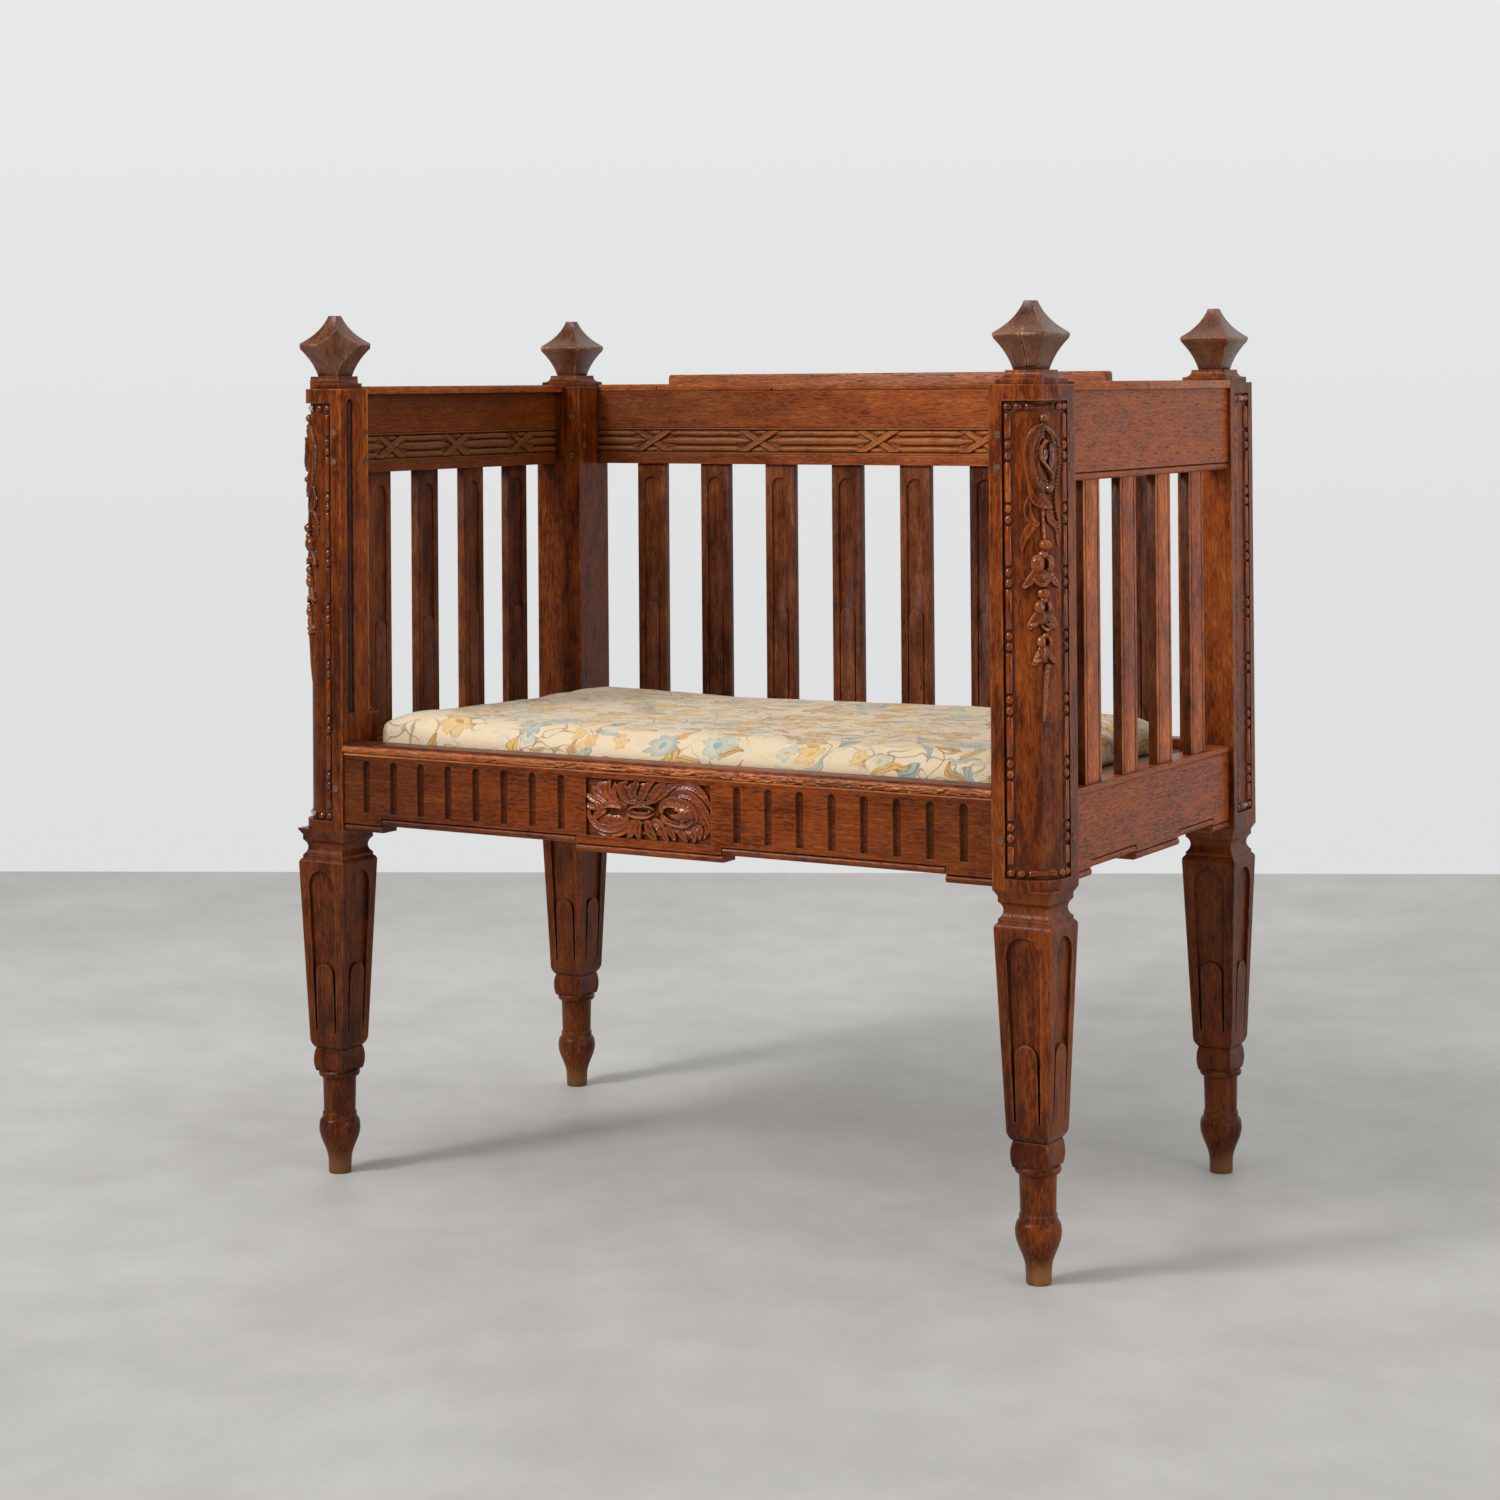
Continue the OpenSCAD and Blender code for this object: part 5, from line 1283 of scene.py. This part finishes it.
def band_heights(u, v, crosses):
    """Heights from the rail's face; v is measured from the middle of the band."""
    away = np.abs(u[..., None] - np.array(crosses)).min(-1)
    wobble = 0.35 * np.sin(u * 0.11) + 0.2 * np.sin(u * 0.31 + v)
    best = np.full(u.shape, SUNK)
    for middle, half, gap, point in REEDS:
        narrow = half * np.sqrt(np.clip((away - gap) / point, 0, 1))
        share = np.abs(v - middle - wobble * 0.5) / np.maximum(narrow, 0.01)
        reed = SUNK + (3.0 * narrow / half) * np.sqrt(np.clip(1 - share ** 2, 0, 1))
        best = np.maximum(best, np.where(share < 1, reed, NOWHERE))
    for at in crosses:
        under = ribbon(u, v, at, -1.75, 3.8, -0.9)
        ends = [dome(u, v, (at + 3 * side, 10.5 * side), (9, 2.6), 1.6) + SUNK for side in (1, -1)]
        best = np.maximum.reduce([best, under, *ends])
    for at in crosses:
        best = np.maximum(best, ribbon(u, v, at, 1.8, 4.0, 0.2))
    for side in (-1, 1):
        share = np.abs(v - side * BEAD_AT) / BEAD_HALF
        bead_rise = -1.4 + 1.4 * np.sqrt(1 - np.minimum(share, 1) ** 2)
        best = np.where(np.abs(v) > 13.4, np.where(share < 1, bead_rise, -1.6), best)
    return best + tool_marks(u, v, 0.1, 0.9, 2, 0.5, 1.3, 0)


def on_back_rail(flat):
    return flat + (0, BACK_FACE, 0)


def on_left_rail(flat):
    return np.column_stack([LEFT_FACE - flat[:, 1], flat[:, 0], flat[:, 2]])


def on_right_rail(flat):
    return np.column_stack([flat[:, 1] - LEFT_FACE, -flat[:, 0], flat[:, 2]])


for name, lay, half, crosses, axis in (("back", on_back_rail, BAY_X, BACK_CROSSES, "x"),
                                       ("left", on_left_rail, BAY_Y, SIDE_CROSSES, "y"),
                                       ("right", on_right_rail, BAY_Y, SIDE_CROSSES, "y")):
    band = carve(f"{name}_band", 2 * half / MM, BAND_LOW / MM, BAND_HIGH / MM, 0.84,
                 lambda u, v: band_heights(u, v - BAND_Z / MM, crosses), ground=-3.2, relief_shade_and_dirt=1.3)
    relay(band, lay, thick=0.5)
    finish_piece(band, f"{name}_ribbon_band", oak("rail", axis))
    print(name, "band:", len(band.data.polygons), "faces")

# %% [markdown]
# ## The chipped nosing
#
# Knees and heels have split the lower half of the nosing along the grain, most of all towards
# the right. A strip of splintered relief is wrapped round it: ridges run along the wood, and a
# slower noise decides where a chip has gone. A fine fillet lies below.

# %% Wrap the splintered strip round the nosing
NOSING_R = 5.5 * MM
NOSING_AT = (APRON_FACE + 3 * MM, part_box("front_apron")[1].z - NOSING_R)
STRIP_LOW, STRIP_HIGH = -8.2, 3.6
FILLET_HALF = 1.2


def noise_values(places):
    """Smooth noise at each place, from about -1 to 1."""
    return np.array([noise.noise(Vector(place)) for place in places])


def streaks(u, v, along, across, seed):
    return noise_values([(a / along, b / across, seed) for a, b in zip(u, v)])


def splinter_heights(u, v):
    damage = 0.3 + 0.7 * np.clip((u + 190) / 160, 0, 1)
    ridges = streaks(u, v, 17, 1.7, 1.7) + 0.6 * streaks(u, v, 6, 1.3, 4.1)
    chips = np.clip((streaks(u, v, 12, 3.6, 7.3) * damage - 0.12) / 0.12, 0, 1)
    cracks = np.exp(-(streaks(u, v, 21, 2.6, 9.9) / 0.07) ** 2)
    left = 0.95 + 1.1 * ridges * damage - 1.5 * chips - 1.1 * cracks * damage
    ragged = 2.6 - v + 0.9 * streaks(u, 0 * v, 11, 1, 2.2)
    edge = np.clip(np.minimum(v - STRIP_LOW, ragged) / 0.8, 0, 1)
    return np.where(edge > 0, np.maximum(left, 0.06) * edge, BELOW)


def fillet_heights(u, v):
    round_top = np.sqrt(np.clip(1 - (v / FILLET_HALF) ** 2, 0, 1))
    return round_top * (1.1 + 0.25 * streaks(u, v, 7, 2, 5.5)) - 0.2


def on_nosing(flat):
    angle, reach = flat[:, 2] / NOSING_R, NOSING_R - flat[:, 1]
    y, z = NOSING_AT[0] - reach * np.cos(angle), NOSING_AT[1] + reach * np.sin(angle)
    return np.column_stack([flat[:, 0], y, z])


def below_nosing(flat):
    return flat + (0, APRON_FACE, NOSING_AT[1] - NOSING_R - FILLET_HALF * MM)


span = 2 * BAY_X / MM
splinters = carve("splinters", span, STRIP_LOW, STRIP_HIGH, 0.5, splinter_heights, relief_shade_and_dirt=2.2)
relay(splinters, on_nosing, thick=0.4)
finish_piece(splinters, "chipped_nosing", oak("nosing", "x"))
fillet = carve("fillet", span, -1.3, 1.3, 0.62, fillet_heights)
relay(fillet, below_nosing, thick=0.4)
finish_piece(fillet, "nosing_fillet", oak("nosing", "x"))
print("nosing:", len(splinters.data.polygons) + len(fillet.data.polygons), "faces")

# %% [markdown]
# ## The loose cushion
#
# The cushion is soft stuffing in a cotton cover. It starts as a rounded block, a little smaller
# than its space between the rails and thinner than the stuffed cushion. The block is made of
# small even squares, because cloth can only bend where there are points.

# %% Cut the block
PAD_LOW, PAD_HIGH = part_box("seat_pad")
PAD_MIDDLE = (PAD_LOW + PAD_HIGH) / 2
HALF_X, HALF_Y = (PAD_HIGH.x - PAD_LOW.x) / 2, (PAD_HIGH.y - PAD_LOW.y) / 2
START_GAP = 1.5 * MM
START_THICK = 31 * MM
CORNER, SEAM = 9 * MM, 10 * MM      # bevels of the upright and of the level edges
VOXEL = 6 * MM


def cut_block():
    """The rounded block that the cover is cut for."""
    block = fresh(bpy.ops.mesh.primitive_cube_add, size=1)
    bpy.ops.object.mode_set(mode="EDIT")
    wide = PAD_HIGH.x - PAD_LOW.x - 2 * START_GAP
    deep = PAD_HIGH.y - PAD_LOW.y - 2 * START_GAP
    bpy.ops.transform.resize(value=(wide, deep, START_THICK))
    lifted = PAD_LOW.z + START_THICK / 2 + MM
    bpy.ops.transform.translate(value=(PAD_MIDDLE.x, PAD_MIDDLE.y, lifted))
    for edge in bmesh.from_edit_mesh(block.data).edges:
        edge.select = abs(edge.verts[0].co.z - edge.verts[1].co.z) > START_THICK / 2
    bpy.ops.mesh.bevel(offset=CORNER, segments=5, affect="EDGES")
    for edge in bmesh.from_edit_mesh(block.data).edges:
        edge.select = len(edge.link_faces) == 2 and edge.calc_face_angle() > 1
    bpy.ops.mesh.bevel(offset=SEAM, segments=4, affect="EDGES")
    bpy.ops.object.mode_set(mode="OBJECT")
    block.data.remesh_voxel_size = VOXEL
    bpy.ops.object.voxel_remesh()
    return block


cushion = cut_block()
print("block:", len(cushion.data.polygons), "faces")

# %% [markdown]
# ## Stuffing the cushion
#
# Before anything is blown up, each point keeps its place on the cover laid out flat, so that
# the print runs over the edge as cloth does. A cloth simulation then blows the cover up from
# inside, as the stuffing does. No point may travel far, so the cushion keeps its outline.

# %% Stuff the cushion
PRESSURE, FRAMES = 4, 20
STRETCH = 11 * MM


def unfold(obj):
    """Keeps on each point its place on the cover laid out flat."""
    p = points_of(obj)
    flat = p[:, :2] - (PAD_MIDDLE.x, PAD_MIDDLE.y)
    inner = np.array([HALF_X, HALF_Y]) - START_GAP - CORNER
    beyond = flat - np.clip(flat, -inner, inner)
    far = np.linalg.norm(beyond, axis=1, keepdims=True)
    down = np.maximum(PAD_LOW.z + START_THICK - 2 * MM - p[:, 2:3], 0)
    down = down * np.clip(far / (0.7 * CORNER), 0, 1)
    flat = flat + beyond / np.maximum(far, 1e-6) * down
    laid = obj.data.attributes.new("laid_flat", "FLOAT_VECTOR", "POINT")
    laid.data.foreach_set("vector", np.column_stack([flat, 0 * far]).ravel().astype(np.float32))


def stuff(obj, pressure, frames, reach):
    """Blows the cover up, and lets each point go no further than the reach."""
    only(obj)
    start = points_of(obj)
    cover = obj.modifiers.new("cover", "CLOTH")
    cover.settings.quality = 5
    cover.settings.mass = 0.25
    cover.settings.tension_stiffness = 10
    cover.settings.compression_stiffness = 10
    cover.settings.bending_stiffness = 0.8
    cover.settings.use_pressure = True
    cover.settings.uniform_pressure_force = pressure
    cover.settings.effector_weights.gravity = 0
    for number in range(1, frames + 1):
        scene.frame_set(number)
    bpy.ops.object.modifier_apply(modifier=cover.name)
    scene.frame_set(1)
    moved = points_of(obj) - start
    far = np.maximum(np.linalg.norm(moved, axis=1, keepdims=True), 1e-9)
    move_points(obj, start + moved / far * reach * np.tanh(far / reach))


unfold(cushion)
stuff(cushion, PRESSURE, FRAMES, STRETCH)
print("cushion:", len(cushion.data.polygons), "faces")

# %% [markdown]
# ## The cushion in its place
#
# Under its own weight the cushion lies flat on the boards, and the rails hold its sides. Its
# cover sags between the corners, wrinkles a little and gathers in small pleats towards each
# corner. At the left end the stuffing has moved to the front and stands a little higher.

# %% Settle the cushion in its place
PLEAT, WAVE, CREASE, SIDE_WAVE = 1.5 * MM, 2.4 * MM, 1.6 * MM, 1.2 * MM
RISE, CORNER_PINCH, LONG_PINCH = 7 * MM, 4 * MM, 6 * MM
CLEAR = 0.2 * MM        # kept free between the cushion and the rails


def settle_down(obj):
    """Lays the cushion flat on the boards, keeps it off the rails and wrinkles its cover."""
    p = points_of(obj)
    out = np.array([v.normal for v in obj.data.vertices])
    x, y = p[:, 0] - PAD_MIDDLE.x, p[:, 1] - PAD_MIDDLE.y
    from_x, from_y = HALF_X - np.abs(x), HALF_Y - np.abs(y)
    corner, turn = np.hypot(from_x, from_y), np.arctan2(from_y, from_x)
    pleats = np.sin(turn * 13 + 3 * np.sign(x) + np.sign(y)) * np.exp(-corner / 0.05) * PLEAT
    waves = noise_values([(4.5 * a, 7 * b, 3.3) for a, b in p[:, :2]]) * WAVE
    creases = np.abs(noise_values([(9 * a, 26 * b, 8.1) for a, b in p[:, :2]])) * CREASE
    side = noise_values([(16 * a, 16 * b, 20 * c) for a, b, c in p]) * SIDE_WAVE
    upper = np.clip((p[:, 2] - PAD_LOW.z) / START_THICK - 0.4, 0, 1)
    p += out * (pleats + side + (waves - creases) * upper)[:, None]
    by_left = np.exp(-((x + HALF_X) / 0.1) ** 2) * (HALF_Y - y) / (2 * HALF_Y)
    pinch = CORNER_PINCH * np.exp(-(corner / 0.04) ** 2)
    pinch = pinch + LONG_PINCH * np.exp(-(from_y / 0.03) ** 2)
    p[:, 2] += np.clip(upper / 0.4, 0, 1) * (RISE * by_left - pinch * (1 - by_left))
    p[:, 2] = np.maximum(p[:, 2], PAD_LOW.z + 0.1 * MM)
    for axis in (0, 1):
        p[:, axis] = np.clip(p[:, axis], PAD_LOW[axis] + CLEAR, PAD_HIGH[axis] - CLEAR)
    move_points(obj, p)


settle_down(cushion)
modify(cushion, "SUBSURF", levels=1, render_levels=1)
print("cushion top at", round(max(v.co.z for v in cushion.data.vertices) / MM, 1), "mm")

# %% [markdown]
# ## The motifs of the printed cotton
#
# Each layer of the print comes from Voronoi cells. A cell gives the place of one motif, and its
# random colour decides whether a motif is there, which way it turns and how it is tinted. In
# polar coordinates round the place, a cosine makes petals. A leaf is a lens along a turned
# axis, and stems follow the level lines of a slow noise.

# %% Helpers for the motifs
CREAM, BLUE, TEAL = (0.655, 0.52, 0.35), (0.35, 0.45, 0.41), (0.24, 0.35, 0.34)
GOLD, OCHRE = (0.62, 0.37, 0.09), (0.5, 0.26, 0.06)
BROWN, HAZE, TAN = (0.22, 0.11, 0.055), (0.58, 0.54, 0.42), (0.68, 0.45, 0.2)
floral, given, result = new_group("Floral print", [("Vector", VECTOR, None)], [("Colour", COLOUR)])


def times(a, b):
    return calc(floral, "MULTIPLY", a, b)


def cells(where, spacing, scatter):
    """From the nearest motif's middle, in cell widths: the length, the angle, and its chances."""
    spread = scaled(floral, where, 1 / spacing)
    cell = add(floral, "ShaderNodeTexVoronoi", {"voronoi_dimensions": "2D"},
               Vector=spread, Scale=1.0, Randomness=scatter).outputs
    offset = vector(floral, "SUBTRACT", spread, cell["Position"])
    x, y = add(floral, "ShaderNodeSeparateXYZ", Vector=offset).outputs[:2]
    turn, here, tint = add(floral, "ShaderNodeSeparateColor", Color=cell["Color"]).outputs
    crowd = noise_at(floral, cell["Position"], 7 * spacing, 0.0, 0.5)["Fac"]
    here = calc(floral, "MULTIPLY_ADD", calc(floral, "SUBTRACT", crowd, 0.5), 1.8, here)
    angle = calc(floral, "MULTIPLY_ADD", turn, 2 * pi, calc(floral, "ARCTAN2", y, x))
    return vector(floral, "LENGTH", offset), angle, here, tint


def line_at(value, width):
    """A drawn line where the value crosses zero."""
    return between(floral, calc(floral, "ABSOLUTE", value), width * 0.4, width, 1.0, 0.0)


def flowers(where, ground, spacing, size, petals, share, tints, fill=0.75):
    """Draws flowers over the ground colour in a share of the cells."""
    far, angle, chance, pick = cells(where, spacing, 0.75)
    lobe = calc(floral, "ABSOLUTE", calc(floral, "COSINE", times(angle, petals / 2)))
    reach = calc(floral, "MULTIPLY_ADD", lobe, 0.4 * size, 0.6 * size)
    inward = calc(floral, "SUBTRACT", reach, far)
    here = calc(floral, "LESS_THAN", chance, share)
    petal = times(between(floral, inward, 0.0, 0.012), here)
    tint = blend_colours(floral, between(floral, pick, 0.45, 0.55), *tints)
    inner = blend_colours(floral, 0.5, tint, CREAM)
    tint = blend_colours(floral, between(floral, far, 0.15 * size, 0.95 * size), inner, tint)
    colour = blend_colours(floral, times(petal, fill), ground, tint)
    rays = line_at(calc(floral, "SINE", times(angle, petals * 1.5)), 0.22)
    ring = line_at(calc(floral, "SUBTRACT", inward, 0.01), 0.016)
    drawn = calc(floral, "MAXIMUM", times(times(rays, petal), 0.3), times(times(ring, here), 0.5))
    middle = times(between(floral, far, 0.2 * size, 0.26 * size, 1.0, 0.0), here)
    colour = blend_colours(floral, middle, colour, tints[1])
    return blend_colours(floral, drawn, colour, BROWN)


def leaves(where, ground, spacing, length, share, tints):
    """Draws lens-shaped leaves with a midrib, each turned its own way."""
    far, angle, chance, pick = cells(where, spacing, 0.9)
    along = times(calc(floral, "COSINE", angle), far)
    aside = times(calc(floral, "SINE", angle), far)
    along = calc(floral, "DIVIDE", along, length)
    arch = calc(floral, "SUBTRACT", 1.0, calc(floral, "POWER", along, 2.0))
    bowed = calc(floral, "MULTIPLY_ADD", arch, 0.18 * length, aside)
    inward = calc(floral, "SUBTRACT", times(arch, 0.3 * length), calc(floral, "ABSOLUTE", bowed))
    here = calc(floral, "LESS_THAN", chance, share)
    blade = times(between(floral, inward, 0.0, 0.015), here)
    tint = blend_colours(floral, between(floral, pick, 0.5, 0.6), *tints)
    colour = blend_colours(floral, times(blade, 0.85), ground, tint)
    rib, rim = times(line_at(bowed, 0.02), blade), times(line_at(inward, 0.018), here)
    return blend_colours(floral, times(calc(floral, "MAXIMUM", rib, rim), 0.7), colour, BROWN)


# %% [markdown]
# ## The print and its cloth
#
# The layers lie over each other on cream: fine stems first, then small faint motifs, then
# the blue and golden ones. A slow noise sways every line a little, as a hand would draw it.
# The cloth itself is matt, with a fine weave in its bump and a faint sheen.

# %% Print the cotton
sway = noise_at(floral, given["Vector"], 22.0, 2.0, 0.5)["Color"]
swayed = vector(floral, "SUBTRACT", sway, (0.5, 0.5, 0.5))
swayed = vector(floral, "MULTIPLY", swayed, (0.045, 0.045, 0))
drawn_at = vector(floral, "ADD", given["Vector"], swayed)
busy = between(floral, noise_at(floral, given["Vector"], 7.0, 1.0, 0.5)["Fac"], 0.42, 0.5)


def stems(where, ground, scale, width):
    """Fine scrolling stems, drawn only in the busy parts."""
    height = noise_at(floral, where, scale, 0.0, 0.5)["Fac"]
    drawn = line_at(calc(floral, "SUBTRACT", height, 0.5), width)
    return blend_colours(floral, times(times(drawn, busy), 0.6), ground, BROWN)


LAYERS = (  # what is drawn, how far the pattern is moved, and its own values
    (stems, (3, 1, 0), 13.0, 0.011),
    (stems, (9, 6, 0), 38.0, 0.03),
    (flowers, (4, 9, 0), 0.017, 0.4, 5, 0.36, (TAN, HAZE), 0.3),
    (leaves, (5, 2, 0), 0.026, 0.42, 0.3, (HAZE, TAN)),
    (leaves, (7, 5, 0), 0.042, 0.44, 0.26, (BLUE, TEAL)),
    (leaves, (1, 7, 0), 0.046, 0.44, 0.34, (GOLD, OCHRE)),
    (flowers, (6, 1, 0), 0.03, 0.42, 5, 0.28, (BLUE, GOLD)),
    (flowers, (2, 4, 0), 0.06, 0.36, 8, 0.22, (BLUE, TEAL)),
    (flowers, (8, 3, 0), 0.062, 0.34, 7, 0.22, (GOLD, OCHRE)),
)
colour = CREAM
for draw, offset, *values in LAYERS:
    colour = draw(vector(floral, "ADD", drawn_at, offset), colour, *values)
floral.links.new(colour, result["Colour"])

fabric, tree = new_material("printed_cotton")
where = add(tree, "ShaderNodeTexCoord").outputs["Object"]
weave = noise_at(tree, where, 1400.0, 1.0, 0.5)["Fac"]
bump = add(tree, "ShaderNodeBump", Strength=0.25, Distance=0.0004, Height=weave)
printed = use_group(tree, floral, Vector=kept_on_points(tree, "laid_flat", "Vector"))["Colour"]
shown = scaled(tree, printed, between(tree, weave, 0.3, 0.7, 0.93, 1.0))
cloth = add(tree, "ShaderNodeBsdfPrincipled", Base_Color=shown, Roughness=0.9,
            Specular_IOR_Level=0.2, Sheen_Weight=0.15, Normal=bump.outputs[0])
add(tree, "ShaderNodeOutputMaterial", Surface=cloth.outputs[0])

finish_piece(cushion, "seat_cushion", fabric, ["seat_pad"])
print("print:", len(floral.nodes), "nodes in", len(LAYERS), "layers")

# %% [markdown]
# ## Floor and walls
#
# The room is plain: a pale floor and pale walls that only the camera and reflections see. The
# walls show one side each, so a camera outside the room looks through the near one. The floor
# is faintly blotched, and it is painted a little darker towards the near left for the light
# falling off there. The walls are painted a little brighter towards the top.

# %% Build the room
HALF_ROOM, WALL_HIGH = 2.05, 5
ROOM_TURN = radians(3.3)
FLOOR_DARK, FLOOR_PALE = (0.51, 0.493, 0.46), (0.575, 0.56, 0.53)
WALL = (0.772, 0.777, 0.782, 1)
floor_material, tree = new_material("pale_floor")
spot = add(tree, "ShaderNodeTexCoord").outputs["Object"]
blot = noise_at(tree, spot, 2.2, 5.0, 0.6)["Fac"]
pale = blend_colours(tree, between(tree, blot, 0.3, 0.7), FLOOR_DARK, FLOOR_PALE)
cloudy = between(tree, noise_at(tree, spot, 9.0, 6.0, 0.75)["Fac"], 0.3, 0.7, 0.955, 1.045)
# Painted light: the floor is darker towards the camera and towards the left
away = vector(tree, "DOT_PRODUCT", spot, tuple(forward))
lit = calc(tree, "MULTIPLY", cloudy, between(tree, away, -1.0, 1.2, 0.82, 1.05))
aside = vector(tree, "DOT_PRODUCT", spot, tuple(right))
lit = calc(tree, "MULTIPLY", lit, between(tree, aside, -2.0, 2.0, 0.895, 1.06))
ground = add(tree, "ShaderNodeBsdfPrincipled", Base_Color=scaled(tree, pale, lit),
             Roughness=0.55, Specular_IOR_Level=0.25)
add(tree, "ShaderNodeOutputMaterial", Surface=ground.outputs[0])
floor = fresh(bpy.ops.mesh.primitive_plane_add, size=30, location=(0, 0, 0))
floor.name = "floor"
floor.data.materials.append(floor_material)


def wall_material(name, seen_in_gloss):
    material, tree = new_material(name)
    path = add(tree, "ShaderNodeLightPath").outputs
    seen = path["Is Camera Ray"]
    if seen_in_gloss:
        for ray in ("Is Glossy Ray", "Is Transmission Ray"):
            seen = calc(tree, "ADD", seen, path[ray])
    geometry = add(tree, "ShaderNodeNewGeometry").outputs
    front = calc(tree, "SUBTRACT", 1.0, geometry["Backfacing"])
    shown = calc(tree, "MULTIPLY", seen, front, clamp=True)
    height = add(tree, "ShaderNodeSeparateXYZ", Vector=geometry["Position"]).outputs[2]
    # Painted light: each wall glows a little brighter towards the top
    level = between(tree, height, 0.0, 2.0, 0.955, 1.06)
    glow = add(tree, "ShaderNodeEmission", Color=WALL, Strength=level).outputs[0]
    clear = add(tree, "ShaderNodeBsdfTransparent").outputs[0]
    both = add(tree, "ShaderNodeMixShader", i0=shown, i1=clear, i2=glow)
    add(tree, "ShaderNodeOutputMaterial", Surface=both.outputs[0])
    return material


walls = {True: wall_material("wall_far", True), False: wall_material("wall_near", False)}
for number in range(4):
    turn = YAW - ROOM_TURN + number * pi / 2
    out, side = Vector((-sin(turn), cos(turn), 0)), Vector((cos(turn), sin(turn), 0))
    wall = fresh(bpy.ops.mesh.primitive_plane_add, size=1, location=(0, 0, 0))
    wall.name = f"wall_{number + 1}"
    upright = Matrix((side * 2 * HALF_ROOM, Vector((0, 0, WALL_HIGH)), -out))
    wall.data.transform(upright.transposed().to_4x4())
    wall.data.transform(Matrix.Translation(out * HALF_ROOM + Vector((0, 0, WALL_HIGH / 2))))
    wall.data.materials.append(walls[number in (0, 3)])
print("room:", 2 * HALF_ROOM, "m wide")

# %% [markdown]
# ## Light
#
# Light comes from a dim even sky and large soft boxes above the front, over the top and on the
# right. Two small lamps only put glints on the polish: they add no light to matt colours.

# %% Light the room
world = bpy.data.worlds.new("sky")
scene.world = world
world.use_nodes = True
sky_tree = world.node_tree
sky_tree.nodes.clear()
mirrored = add(sky_tree, "ShaderNodeLightPath").outputs["Is Glossy Ray"]
strength = calc(sky_tree, "MULTIPLY_ADD", mirrored, -0.46, 0.5)
sky = add(sky_tree, "ShaderNodeBackground", Color=(0.97, 0.985, 1, 1), Strength=strength)
add(sky_tree, "ShaderNodeOutputWorld", Surface=sky.outputs[0])


def soft_box(name, at, towards, size, watts, diffuse=1.0, shine=1.0):
    lamp = fresh(bpy.ops.object.light_add, type="AREA", location=at)
    lamp.name = name
    lamp.data.shape = "SQUARE"
    lamp.data.size = size
    lamp.data.energy = watts
    lamp.data.diffuse_factor, lamp.data.specular_factor = diffuse, shine
    lamp.rotation_mode = "QUATERNION"
    lamp.rotation_quaternion = (Vector(towards) - Vector(at)).to_track_quat("-Z", "Y")
    print(name, watts, "W")


soft_box("front_box", (-1.6, -3.2, 3.0), (0, 0, 0.5), 2.6, 80, shine=0.35)
soft_box("top_box", (0.6, 0.2, 3.4), (0, 0, 0.4), 3.0, 26)
soft_box("right_box", (3.4, -0.9, 0.8), (0, 0, 0.6), 1.2, 30)
soft_box("glint_left", (-1.7, -2.9, 2.7), (0, 0, 0.7), 0.6, 64, diffuse=0.0)
soft_box("glint_right", (2.4, -2.2, 3.2), (0, 0, 0.7), 0.4, 7, diffuse=0.0)
